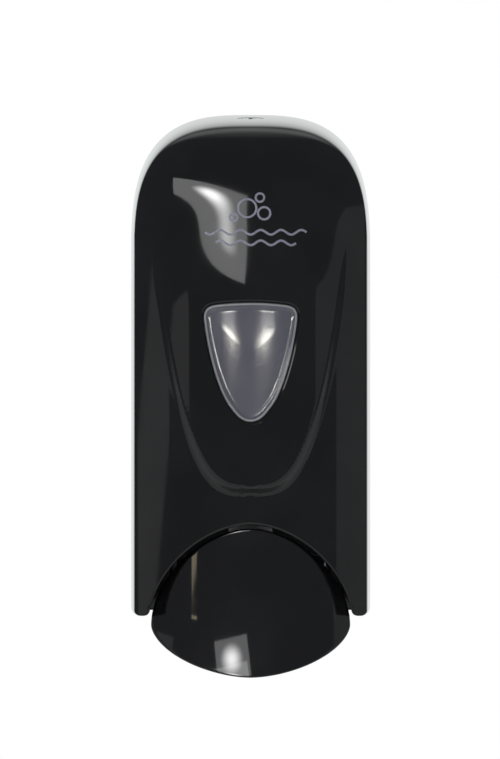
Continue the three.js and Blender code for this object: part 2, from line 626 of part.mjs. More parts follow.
function lockCam() {
  const depths = [LOCK.depth - CAM.halfWidth, LOCK.depth + CAM.halfWidth];
  const arm = block([0, CAM.reach], depths, [CAM.low, CAM.high]);
  const hook = block([CAM.reach - CAM.hook, CAM.reach], depths, [CAM.low, CAM.hookHigh]);
  const disc = barUpright(CAM.disc, [CAM.low, CAM.high], 0, LOCK.depth);
  return cut(join(disc, arm, hook), barUpright(SCREW.pilot, [240, 260], 0, LOCK.depth));
}

// ---- Wall side ----------------------------------------------------------------------------------
place('wall_plate', wallPlate(), BLACK_PLASTIC);
place('pump_shelf', pumpShelf(), GREY_PLASTIC);
place('latch_keeper', latchKeeper(), STEEL);
place('lever_axle', barAlongX(PIVOT.axle, [-46.5, 46.5], PIVOT.depth, PIVOT.height), STEEL);
for (const [side, sign] of SIDES) {
  place(`foam_tape_${side}`, foamTape(sign), FOAM_TAPE);
  const pinX = [sign * 42, sign * 55.2].sort((a, b) => a - b);
  place(`hinge_pin_${side}`, barAlongX(HINGE.pin, pinX, HINGE.depth, HINGE.height), STEEL);
  place(`axle_clip_${side}`, axleClip(sign), STEEL);
  place(`lever_spring_${side}`, leverSpring(sign), STEEL);
  const shelfScrew = place(`shelf_screw_${side}`, panScrew(8.1, SCREW.radius), STEEL);
  shelfScrew.rotation.x = Math.PI / 2;
  shelfScrew.position.set(sign * SHELF_SCREW.x, -SCREW.tip, SHELF_SCREW.height);
}
const keeperScrew = place('keeper_screw', panScrew(6.6, SCREW.radius), STEEL);
keeperScrew.rotation.x = Math.PI / 2;
keeperScrew.position.set(0, -SCREW.tip, KEEPER.screwHeight);

// ---- Refill -------------------------------------------------------------------------------------
place('soap_pouch', soapPouch(), FILM);
place('pouch_spout', pouchSpout(), WHITE_PLASTIC);
place('pump_collar', pumpCollar(), WHITE_PLASTIC);
place('pump_body', pumpBody(), WHITE_PLASTIC);
place('inlet_ball', inletBall(), STEEL);
place('pump_spring', pumpSpring(), STEEL);
place('pump_piston', pumpPiston(), WHITE_PLASTIC);
place('piston_seal', pistonSeal(), RUBBER);
place('foam_nozzle', foamNozzle(), WHITE_PLASTIC);
place('foam_mesh_upper', foamMesh(FOAM_MESH.upper), STEEL);
place('foam_mesh_lower', foamMesh(FOAM_MESH.lower), STEEL);

// ---- Cover and lock -----------------------------------------------------------------------------
place('cover_shell', coverShell(), GLOSS_BLACK);
place('window_lens', windowLens(), CLEAR_PLASTIC);
place('window_retainer', windowRetainer(), BLACK_PLASTIC);
place('lock_barrel', lockBarrel(), STEEL);
place('lock_washer', lockWasher(), STEEL);
place('lock_cam', lockCam(), STEEL);
const camScrew = place('cam_screw', panScrew(9.6, SCREW.radius), STEEL);
camScrew.rotation.x = Math.PI;
camScrew.position.set(0, -LOCK.depth, 256.3);

// ---- Push lever ---------------------------------------------------------------------------------
place('push_lever', leverBodyWithArms(), GLOSS_BLACK);
place('lift_fork', liftFork(), GREY_PLASTIC);
for (const [side, sign] of SIDES) {
  const body = panScrew(FORK_SCREW.length, FORK_SCREW.radius, FORK_SCREW.head);
  const forkScrew = place(`fork_screw_${side}`, body, STEEL);
  forkScrew.rotation.y = sign * Math.PI / 2;
  forkScrew.position.set(sign * FORK_SCREW.start, -FORK.depth, FORK.height);
}

const product = new THREE.Group();
product.add(dispenser);

export default product;
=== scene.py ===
"""Wall mounted soap dispenser: fine surfaces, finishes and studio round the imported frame.

Sizes are in millimetres. A place is given by x, by depth out from the wall, and by height above
the lever's lowest point, and spot() turns it into the frame's metres.
"""
import logging
import math
from dataclasses import dataclass, field
from enum import Enum
from typing import Optional, Sequence

import bpy
import numpy as np
from mathutils import Matrix, Vector


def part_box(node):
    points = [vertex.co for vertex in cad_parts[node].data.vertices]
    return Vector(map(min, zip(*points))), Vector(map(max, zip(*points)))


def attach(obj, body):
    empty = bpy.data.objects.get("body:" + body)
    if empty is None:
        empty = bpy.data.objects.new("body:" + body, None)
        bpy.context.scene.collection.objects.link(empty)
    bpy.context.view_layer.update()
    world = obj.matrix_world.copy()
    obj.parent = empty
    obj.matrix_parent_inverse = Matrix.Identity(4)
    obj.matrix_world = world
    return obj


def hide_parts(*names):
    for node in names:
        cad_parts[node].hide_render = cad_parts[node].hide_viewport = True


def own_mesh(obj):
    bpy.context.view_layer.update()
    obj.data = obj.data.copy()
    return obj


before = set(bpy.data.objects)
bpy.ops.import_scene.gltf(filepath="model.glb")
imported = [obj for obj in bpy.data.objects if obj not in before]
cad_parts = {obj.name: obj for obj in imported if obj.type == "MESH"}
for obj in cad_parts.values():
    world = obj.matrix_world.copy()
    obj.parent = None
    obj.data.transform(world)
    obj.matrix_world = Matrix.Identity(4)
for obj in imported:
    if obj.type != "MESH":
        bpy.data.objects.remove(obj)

logging.basicConfig(level=logging.INFO, format="%(message)s")
LOG = logging.getLogger("dispenser")

MM = 0.001
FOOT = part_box("push_lever")[0].z
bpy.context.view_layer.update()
Pair = tuple[float, float]


class Side(Enum):
    """The two sides of a mirrored pair, as signs of x."""

    LEFT = -1
    RIGHT = 1


class Axis(Enum):
    """The direction that a round piece is turned about."""

    ACROSS = "x"
    OUTWARD = "y"
    UPRIGHT = "z"


def spot(x: float, depth: float, height: float) -> Vector:
    """A place in millimetres as a point of the frame in metres."""
    return Vector((x * MM, -depth * MM, FOOT + height * MM))


def ramp(value: np.ndarray, low: float, high: float) -> np.ndarray:
    """A smooth rise from 0 at low to 1 at high.

    Args:
        value: numbers to map.
        low: where the rise starts.
        high: where the rise ends.

    Returns:
        The mapped numbers.
    """
    t = np.clip((np.asarray(value, float) - low) / (high - low), 0, 1)
    return t * t * (3 - 2 * t)


def rounded_step(value: np.ndarray, width: float, soft: float = 0.2) -> np.ndarray:
    """A straight rise from 0 to 1 with small roundings at both ends.

    Args:
        value: numbers to map; the rise starts at 0.
        width: the length of the rise.
        soft: the share of the rise that each rounding takes.

    Returns:
        The mapped numbers.
    """
    t = np.clip(np.asarray(value, float) / width, 0, 1)
    curve = 2 * soft * (1 - soft)
    middle = (t - soft / 2) / (1 - soft)
    return np.where(t < soft, t ** 2 / curve, np.where(t > 1 - soft, 1 - (1 - t) ** 2 / curve, middle))


# ---- Mesh tools ---------------------------------------------------------------------------------


def only(obj: bpy.types.Object) -> None:
    """Leaves one object selected and active.

    Args:
        obj: the object to work on.
    """
    if bpy.context.mode != "OBJECT":
        bpy.ops.object.mode_set(mode="OBJECT")
    bpy.ops.object.select_all(action="DESELECT")
    obj.select_set(True)
    bpy.context.view_layer.objects.active = obj


def settle(obj: bpy.types.Object) -> None:
    """Puts an object's place into its mesh."""
    only(obj)
    bpy.ops.object.transform_apply(location=True, rotation=True, scale=True)


def named_mesh(name: str, points: Sequence, faces: Sequence) -> bpy.types.Object:
    """Makes a mesh object from points and faces.

    Args:
        name: the object's name.
        points: corner places in metres.
        faces: corner numbers of each face.

    Returns:
        The new object.
    """
    mesh = bpy.data.meshes.new(name)
    mesh.from_pydata([tuple(p) for p in points], [], [tuple(f) for f in faces])
    mesh.validate()
    obj = bpy.data.objects.new(name, mesh)
    bpy.context.scene.collection.objects.link(obj)
    return obj


def ring_faces(count: int, rings: int, base: int = 0, closed: bool = False) -> list[tuple[int, ...]]:
    """Four-sided faces between neighbouring rings of corners.

    Args:
        count: corners in each ring.
        rings: how many rings there are.
        base: the number of the first corner.
        closed: whether the last ring joins the first.

    Returns:
        The corner numbers of each face.
    """
    faces = []
    for k in range(rings if closed else rings - 1):
        near, far = base + k * count, base + (k + 1) % rings * count
        for i in range(count):
            j = (i + 1) % count
            faces.append((near + i, near + j, far + j, far + i))
    return faces


def tidy_normals(obj: bpy.types.Object, merge: float = 1e-6) -> None:
    """Merges doubles and turns every face outwards.

    Args:
        obj: the mesh object.
        merge: merging distance in metres.
    """
    only(obj)
    bpy.ops.object.mode_set(mode="EDIT")
    bpy.ops.mesh.select_all(action="SELECT")
    bpy.ops.mesh.remove_doubles(threshold=merge)
    bpy.ops.mesh.normals_make_consistent(inside=False)
    bpy.ops.object.mode_set(mode="OBJECT")


def lofted(name: str, rings: Sequence[Sequence[Vector]], closed: bool = False) -> bpy.types.Object:
    """A body through stacked rings of points.

    Args:
        name: the object's name.
        rings: the rings' points, in order.
        closed: whether the last ring joins the first; both ends are capped when it doesn't.

    Returns:
        The new object.
    """
    count = len(rings[0])
    points = [point for ring in rings for point in ring]
    faces = ring_faces(count, len(rings), closed=closed)
    if not closed:
        faces += [tuple(range(count)), tuple(range(len(points) - count, len(points)))]
    obj = named_mesh(name, points, faces)
    tidy_normals(obj)
    return obj


def smooth(obj: bpy.types.Object, degrees: float = 35) -> None:
    """Shades an object smooth except across sharp edges.

    Args:
        obj: the mesh object.
        degrees: edges sharper than this stay crisp.
    """
    only(obj)
    bpy.ops.object.shade_smooth_by_angle(angle=math.radians(degrees))


def apply_modifier(obj: bpy.types.Object, kind: str, **settings: object) -> None:
    """Adds a modifier, sets it and applies it.

    Args:
        obj: the mesh object.
        kind: the modifier's type.
        **settings: its properties.
    """
    only(obj)
    modifier = obj.modifiers.new(kind.title(), kind)
    for key, value in settings.items():
        setattr(modifier, key, value)
    bpy.ops.object.modifier_apply(modifier=modifier.name)


def bevel(obj: bpy.types.Object, width: float, segments: int = 2, degrees: float = 30) -> None:
    """Rounds an object's sharp edges.

    Args:
        obj: the mesh object.
        width: the bevel's width in millimetres.
        segments: steps across the bevel.
        degrees: edges flatter than this are left.
    """
    apply_modifier(obj, "BEVEL", width=width * MM, segments=segments, limit_method="ANGLE",
                   angle_limit=math.radians(degrees), harden_normals=False)


def combine(obj: bpy.types.Object, tool: bpy.types.Object, operation: str) -> None:
    """Joins or cuts an object with a tool, which is then removed.

    Args:
        obj: the mesh object that is kept.
        tool: the mesh object that is used up.
        operation: UNION, DIFFERENCE or INTERSECT.
    """
    apply_modifier(obj, "BOOLEAN", object=tool, operation=operation, solver="EXACT")
    bpy.data.objects.remove(tool)


def rod(name: str, axis: Axis, radius: float, span: Pair, centre: Pair,
        sides: int = 64) -> bpy.types.Object:
    """A round bar along one axis.

    Args:
        name: the object's name.
        axis: the direction it runs.
        radius: in millimetres.
        span: where it starts and ends along the axis: x, depth or height.
        centre: its other two coordinates, in the order x, depth, height.
        sides: faces round the bar.

    Returns:
        The new object.
    """
    middle = (span[0] + span[1]) / 2
    quarter = math.pi / 2
    place, turn = {Axis.ACROSS: ((middle, *centre), (0, quarter, 0)),
                   Axis.OUTWARD: ((centre[0], middle, centre[1]), (quarter, 0, 0)),
                   Axis.UPRIGHT: ((*centre, middle), (0, 0, 0))}[axis]
    bpy.ops.object.select_all(action="DESELECT")
    bpy.ops.mesh.primitive_cylinder_add(vertices=sides, radius=radius * MM, location=spot(*place),
                                        depth=abs(span[1] - span[0]) * MM, rotation=turn)
    bar = bpy.context.active_object
    bar.name = name
    settle(bar)
    return bar


def block(centre: Sequence[float], size: Sequence[float], turn: float = 0.0) -> bpy.types.Object:
    """A plain block, used for cutting.

    Args:
        centre: its middle in metres.
        size: its size along each axis in metres.
        turn: turned about the upright axis, in radians.

    Returns:
        The new object.
    """
    bpy.ops.object.select_all(action="DESELECT")
    bpy.ops.mesh.primitive_cube_add(size=1, location=centre, scale=size, rotation=(0, 0, turn))
    cube = bpy.context.active_object
    settle(cube)
    return cube


def spun(name: str, profile: Sequence[Pair], x: float, depth: float, steps: int = 72) -> bpy.types.Object:
    """Turns a profile about an upright axis.

    Args:
        name: the object's name.
        profile: radius and height of each corner, in order round the section.
        x: the axis's x.
        depth: the axis's depth.
        steps: faces round the piece.

    Returns:
        The new closed object.
    """
    closed = profile[0][0] > 0
    points = [spot(x + r, depth, h) for r, h in profile]
    obj = named_mesh(name, points, [])
    count = len(points)
    obj.data.edges.add(count if closed else count - 1)
    for i, edge in enumerate(obj.data.edges):
        edge.vertices = (i, (i + 1) % count)
    only(obj)
    bpy.ops.object.mode_set(mode="EDIT")
    bpy.ops.mesh.select_all(action="SELECT")
    bpy.ops.mesh.spin(steps=steps, angle=2 * math.pi, center=spot(x, depth, 0), axis=(0, 0, 1))
    bpy.ops.object.mode_set(mode="OBJECT")
    tidy_normals(obj, 1e-7)
    return obj


def wire(name: str, points: Sequence[Vector], radius: float, sides: int = 4) -> bpy.types.Object:
    """A round wire along a smooth line.

    Args:
        name: the object's name.
        points: places in metres along the line.
        radius: the wire's radius in millimetres.
        sides: the curve's bevel resolution.

    Returns:
        The new mesh object.
    """
    curve = bpy.data.curves.new(name, "CURVE")
    curve.dimensions = "3D"
    curve.bevel_depth = radius * MM
    curve.bevel_resolution = sides
    curve.use_fill_caps = True
    spline = curve.splines.new("POLY")
    spline.points.add(len(points) - 1)
    for point, place in zip(spline.points, points):
        point.co = (*place, 1)
    obj = bpy.data.objects.new(name, curve)
    bpy.context.scene.collection.objects.link(obj)
    only(obj)
    bpy.ops.object.convert(target="MESH")
    obj = bpy.context.active_object
    tidy_normals(obj, 1e-7)
    smooth(obj, 60)
    return obj


def plate_from(name: str, outline: Sequence[Pair], x: Pair) -> bpy.types.Object:
    """A flat plate with its outline in depth and height.

    Args:
        name: the object's name.
        outline: depth and height of each corner.
        x: the plate's two faces.

    Returns:
        The new closed object.
    """
    count = len(outline)
    points = [spot(side, d, h) for side in x for d, h in outline]
    faces = [list(range(count)), list(range(2 * count - 1, count - 1, -1))]
    faces += [[i, (i + 1) % count, count + (i + 1) % count, count + i] for i in range(count)]
    obj = named_mesh(name, points, faces)
    tidy_normals(obj)
    return obj


def softened_copy(node: str, width: float, degrees: float = 40) -> bpy.types.Object:
    """A copy of a frame node with merged corners and rounded edges.

    Args:
        node: the frame node's name.
        width: the rounding's width in millimetres.
        degrees: edges flatter than this are left.

    Returns:
        The new object, in the node's place.
    """
    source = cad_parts[node]
    obj = bpy.data.objects.new(f"{node}_fine", source.data.copy())
    obj.data.materials.clear()
    bpy.context.scene.collection.objects.link(obj)
    tidy_normals(obj, 1e-6)
    bpy.ops.object.mode_set(mode="EDIT")
    bpy.ops.mesh.select_all(action="SELECT")
    bpy.ops.mesh.dissolve_limited(angle_limit=math.radians(1))
    bpy.ops.object.mode_set(mode="OBJECT")
    bevel(obj, width, 2, degrees)
    smooth(obj, 30)
    return obj


def dress(obj: bpy.types.Object, material: bpy.types.Material) -> None:
    """Gives an object one finish."""
    obj.data.materials.clear()
    obj.data.materials.append(material)


def fit(obj: bpy.types.Object, body: str, slot: str, material: bpy.types.Material,
        *nodes: str) -> bpy.types.Object:
    """Dresses a piece, hangs it on the frame body that it moves with and hides the frame nodes that it
    replaces.

    Args:
        obj: the piece.
        body: the frame body that it moves with.
        slot: not used.
        material: its finish.
        *nodes: the frame nodes that it replaces.

    Returns:
        The piece.
    """
    dress(obj, material)
    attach(obj, body)
    if nodes:
        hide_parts(*nodes)
    LOG.info("%s: %d faces on %s", obj.name, len(obj.data.polygons), body)
    return obj


# ---- Finishes -----------------------------------------------------------------------------------


class Shader:
    """A node material with a Principled shader and helpers to wire it."""

    def __init__(self, name: str) -> None:
        """Starts a material.

        Args:
            name: the material's name.
        """
        self.material = bpy.data.materials.new(name)
        self.material.use_nodes = True
        self.nodes = self.material.node_tree.nodes
        self.links = self.material.node_tree.links
        self.shader = self.nodes["Principled BSDF"]
        self.place = self.nodes.new("ShaderNodeTexCoord").outputs["Object"]

    def put(self, **values: object) -> None:
        """Sets the shader's own sockets; underscores in names stand for spaces."""
        for key, value in values.items():
            self.shader.inputs[key.replace("_", " ")].default_value = value

    def noise(self, scale: float, detail: float = 3,
              stretch: Sequence[float] = (1, 1, 1)) -> bpy.types.NodeSocket:
        """A noise pattern on object coordinates.

        Args:
            scale: pattern repeats per metre.
            detail: layers of finer noise.
            stretch: how much the pattern is squeezed along each axis.

        Returns:
            The pattern's value.
        """
        mapping = self.nodes.new("ShaderNodeMapping")
        mapping.inputs["Scale"].default_value = stretch
        self.links.new(self.place, mapping.inputs["Vector"])
        texture = self.nodes.new("ShaderNodeTexNoise")
        texture.inputs["Scale"].default_value = scale
        texture.inputs["Detail"].default_value = detail
        self.links.new(mapping.outputs["Vector"], texture.inputs["Vector"])
        return texture.outputs["Fac"]

    def spread(self, value: bpy.types.NodeSocket, source: Pair, target: Pair) -> bpy.types.NodeSocket:
        """Maps a value from one range to another.

        Args:
            value: the value to map.
            source: its range.
            target: the wanted range.

        Returns:
            The mapped value.
        """
        node = self.nodes.new("ShaderNodeMapRange")
        node.inputs["From Min"].default_value = source[0]
        node.inputs["From Max"].default_value = source[1]
        node.inputs["To Min"].default_value = target[0]
        node.inputs["To Max"].default_value = target[1]
        self.links.new(value, node.inputs["Value"])
        return node.outputs["Result"]

    def blend(self, value: bpy.types.NodeSocket, low: Sequence[float],
              high: Sequence[float]) -> bpy.types.NodeSocket:
        """Mixes two colours by a value.

        Args:
            value: 0 for low, 1 for high.
            low: the first colour.
            high: the second colour.

        Returns:
            The mixed colour.
        """
        node = self.nodes.new("ShaderNodeMix")
        node.data_type = "RGBA"
        node.inputs["A"].default_value = (*low, 1)
        node.inputs["B"].default_value = (*high, 1)
        self.links.new(value, node.inputs["Factor"])
        return node.outputs["Result"]

    def relief(self, value: bpy.types.NodeSocket, height: float, strength: float) -> None:
        """Adds fine relief after any that is already there.

        Args:
            value: the relief's pattern.
            height: its height in millimetres.
            strength: how strongly it tilts the surface.
        """
        bump = self.nodes.new("ShaderNodeBump")
        bump.inputs["Distance"].default_value = height * MM
        bump.inputs["Strength"].default_value = strength
        self.links.new(value, bump.inputs["Height"])
        normal = self.shader.inputs["Normal"]
        if normal.is_linked:
            self.links.new(normal.links[0].from_socket, bump.inputs["Normal"])
        self.links.new(bump.outputs["Normal"], normal)

    def feed(self, socket: str, value: bpy.types.NodeSocket) -> None:
        """Links a value to one of the shader's sockets."""
        self.links.new(value, self.shader.inputs[socket])


@dataclass(frozen=True)
class GlossPlastic:
    """Polished moulded plastic with a trace of orange peel and fine dust."""

    name: str
    colour: tuple = (0.0045, 0.0045, 0.0052)
    dust: tuple = (0.012, 0.012, 0.013)
    roughness: Pair = (0.035, 0.075)
    peel: float = 0.03

    def build(self) -> bpy.types.Material:
        """Makes the material."""
        s = Shader(self.name)
        s.put(IOR=1.5, Coat_Weight=0.35, Coat_Roughness=0.03)
        haze = s.noise(26, 5)
        s.feed("Base Color", s.blend(s.spread(haze, (0.45, 0.75), (0, 1)), self.colour, self.dust))
        s.feed("Roughness", s.spread(s.noise(60, 6), (0.3, 0.7), self.roughness))
        s.relief(s.noise(240, 2), 0.05, self.peel)
        s.relief(s.noise(2600, 2), 0.01, 0.02)
        return s.material


@dataclass(frozen=True)
class GrainedPlastic:
    """Moulded plastic with a fine spark-eroded grain."""

    name: str
    colour: tuple
    roughness: Pair = (0.42, 0.58)
    grain: float = 0.35

    def build(self) -> bpy.types.Material:
        """Makes the material."""
        s = Shader(self.name)
        s.put(IOR=1.47)
        dark = tuple(0.82 * c for c in self.colour)
        s.feed("Base Color", s.blend(s.spread(s.noise(90, 5), (0.35, 0.65), (0, 1)), dark, self.colour))
        s.feed("Roughness", s.spread(s.noise(700, 3), (0.3, 0.7), self.roughness))
        s.relief(s.noise(2400, 3), 0.04, self.grain)
        s.relief(s.noise(60, 2), 0.1, 0.05)
        return s.material


@dataclass(frozen=True)
class NaturalPlastic:
    """Semi-gloss natural plastic of the pump's parts, a little waxy."""

    name: str
    colour: tuple = (0.74, 0.745, 0.72)

    def build(self) -> bpy.types.Material:
        """Makes the material."""
        s = Shader(self.name)
        s.put(IOR=1.5, Subsurface_Weight=0.12, Subsurface_Scale=0.002)
        warm = tuple(0.93 * c for c in self.colour)
        s.feed("Base Color", s.blend(s.spread(s.noise(140, 4), (0.35, 0.65), (0, 1)), warm, self.colour))
        s.feed("Roughness", s.spread(s.noise(300, 4), (0.3, 0.7), (0.22, 0.36)))
        s.relief(s.noise(500, 3), 0.03, 0.12)
        return s.material


@dataclass(frozen=True)
class PlatedMetal:
    """Metal with drawing or turning lines along one axis."""

    name: str
    colour: tuple = (0.56, 0.56, 0.57)
    roughness: Pair = (0.2, 0.38)
    stretch: tuple = (0.04, 1, 1)

    def build(self) -> bpy.types.Material:
        """Makes the material."""
        s = Shader(self.name)
        s.put(Metallic=1.0)
        lines = s.noise(3200, 4, self.stretch)
        stain = s.spread(s.noise(120, 4), (0.35, 0.7), (0, 1))
        s.feed("Base Color", s.blend(stain, self.colour, tuple(0.78 * c for c in self.colour)))
        s.feed("Roughness", s.spread(lines, (0.3, 0.7), self.roughness))
        s.relief(lines, 0.01, 0.18)
        return s.material


@dataclass(frozen=True)
class Rubber:
    """Matt black rubber with a light bloom."""

    name: str

    def build(self) -> bpy.types.Material:
        """Makes the material."""
        s = Shader(self.name)
        bloom = s.spread(s.noise(900, 4), (0.4, 0.7), (0, 1))
        s.feed("Base Color", s.blend(bloom, (0.016, 0.016, 0.017), (0.045, 0.045, 0.046)))
        s.feed("Roughness", s.spread(bloom, (0, 1), (0.6, 0.8)))
        s.relief(s.noise(2500, 2), 0.02, 0.2)
        return s.material


@dataclass(frozen=True)
class TapeFoam:
    """Closed-cell foam tape behind a paper liner."""

    name: str

    def build(self) -> bpy.types.Material:
        """Makes the material."""
        s = Shader(self.name)
        s.put(Roughness=0.85)
        fibres = s.spread(s.noise(1400, 5, (1, 1, 0.3)), (0.3, 0.7), (0, 1))
        s.feed("Base Color", s.blend(fibres, (0.62, 0.6, 0.52), (0.74, 0.72, 0.65)))
        s.relief(fibres, 0.05, 0.3)
        return s.material


@dataclass(frozen=True)
class SoapFilm:
    """Soft clouded film drawn tight over liquid soap."""

    name: str

    def build(self) -> bpy.types.Material:
        """Makes the material."""
        s = Shader(self.name)
        s.put(IOR=1.45, Coat_Weight=0.4, Coat_Roughness=0.12, Subsurface_Weight=0.25)
        s.put(Subsurface_Scale=0.004)
        cloud = s.spread(s.noise(32, 5), (0.35, 0.68), (0, 1))
        s.feed("Base Color", s.blend(cloud, (0.5, 0.53, 0.61), (0.66, 0.69, 0.76)))
        s.feed("Roughness", s.spread(s.noise(75, 4), (0.3, 0.7), (0.14, 0.3)))
        s.relief(s.noise(46, 4, (1, 1, 0.45)), 1.2, 0.22)
        s.relief(s.noise(210, 3, (0.5, 1, 1)), 0.2, 0.12)
        return s.material


@dataclass(frozen=True)
class WindowPlastic:
    """Clear smoke-tinted moulding, lightly hazed by handling."""

    name: str
    colour: tuple = (0.19, 0.185, 0.235)
    alpha: float = 0.62

    def build(self) -> bpy.types.Material:
        """Makes the material."""
        s = Shader(self.name)
        s.put(IOR=1.58, Alpha=self.alpha, Coat_Weight=0.8, Coat_Roughness=0.04)
        haze = s.spread(s.noise(48, 4, (1, 1, 0.5)), (0.35, 0.68), (0, 1))
        s.feed("Base Color", s.blend(haze, self.colour, tuple(1.25 * c for c in self.colour)))
        s.feed("Roughness", s.spread(haze, (0, 1), (0.06, 0.14)))
        s.relief(s.noise(130, 3), 0.04, 0.05)
        return s.material


@dataclass(frozen=True)
class MeshCloth:
    """Fine woven wire cloth of the foam screens."""

    name: str
    pitch: float = 0.5

    def build(self) -> bpy.types.Material:
        """Makes the material."""
        s = Shader(self.name)
        s.put(Metallic=1.0)
        weave = []
        for axis in ("X", "Y"):
            wave = s.nodes.new("ShaderNodeTexWave")
            wave.bands_direction = axis
            wave.inputs["Scale"].default_value = 1 / (self.pitch * MM) / 20
            s.links.new(s.place, wave.inputs["Vector"])
            weave.append(wave.outputs["Fac"])
        both = s.nodes.new("ShaderNodeMath")
        both.operation = "MAXIMUM"
        s.links.new(weave[0], both.inputs[0])
        s.links.new(weave[1], both.inputs[1])
        s.feed("Base Color", s.blend(both.outputs[0], (0.12, 0.12, 0.12), (0.62, 0.62, 0.6)))
        s.feed("Roughness", s.spread(both.outputs[0], (0, 1), (0.6, 0.3)))
        s.relief(both.outputs[0], 0.1, 0.6)
        return s.material


@dataclass(frozen=True)
class PrintInk:
    """Pad-printed pale ink, a little uneven."""

    name: str

    def build(self) -> bpy.types.Material:
        """Makes the material."""
        s = Shader(self.name)
        s.put(IOR=1.5)
        patch = s.spread(s.noise(420, 4), (0.35, 0.7), (0, 1))
        s.feed("Base Color", s.blend(patch, (0.5, 0.5, 0.62), (0.42, 0.42, 0.53)))
        s.feed("Roughness", s.spread(patch, (0, 1), (0.3, 0.45)))
        s.relief(patch, 0.01, 0.1)
        return s.material


@dataclass(frozen=True)
class StudioPaint:
    """Pale seamless floor of the studio."""

    name: str

    def build(self) -> bpy.types.Material:
        """Makes the material."""
        s = Shader(self.name)
        s.put(Roughness=0.75)
        s.feed("Base Color", s.blend(s.noise(3, 3), (0.8, 0.8, 0.8), (0.84, 0.84, 0.84)))
        return s.material


@dataclass(frozen=True)
class Palette:
    """Every finish of the dispenser, built once."""

    cover: bpy.types.Material = field(default_factory=GlossPlastic("cover_gloss").build)
    lever: bpy.types.Material = field(default_factory=GlossPlastic("lever_gloss").build)
    chassis: bpy.types.Material = field(
        default_factory=GrainedPlastic("chassis_grain", (0.03, 0.03, 0.032)).build)
    grey: bpy.types.Material = field(default_factory=GrainedPlastic("grey_grain", (0.25, 0.26, 0.27)).build)
    natural: bpy.types.Material = field(default_factory=NaturalPlastic("natural_pump").build)
    steel: bpy.types.Material = field(default_factory=PlatedMetal("plated_steel").build)
    lock: bpy.types.Material = field(
        default_factory=PlatedMetal("lock_metal", (0.72, 0.73, 0.73), (0.12, 0.24)).build)
    spring: bpy.types.Material = field(
        default_factory=PlatedMetal("spring_wire", (0.46, 0.46, 0.47), (0.15, 0.3)).build)
    cloth: bpy.types.Material = field(default_factory=MeshCloth("wire_cloth").build)
    rubber: bpy.types.Material = field(default_factory=Rubber("seal_rubber").build)
    tape: bpy.types.Material = field(default_factory=TapeFoam("tape_foam").build)
    film: bpy.types.Material = field(default_factory=SoapFilm("soap_film").build)
    window: bpy.types.Material = field(default_factory=WindowPlastic("window_tint").build)
    # The window bead's pale grey is a painted highlight: it stands in for the bright, edge-lit rim of the
    # clear lens.
    painted_highlight_bead: bpy.types.Material = field(
        default_factory=WindowPlastic("window_edge_painted_highlight", (0.5, 0.5, 0.52), 0.92).build)
    ink: bpy.types.Material = field(default_factory=PrintInk("pale_ink").build)


# ---- Cover --------------------------------------------------------------------------------------


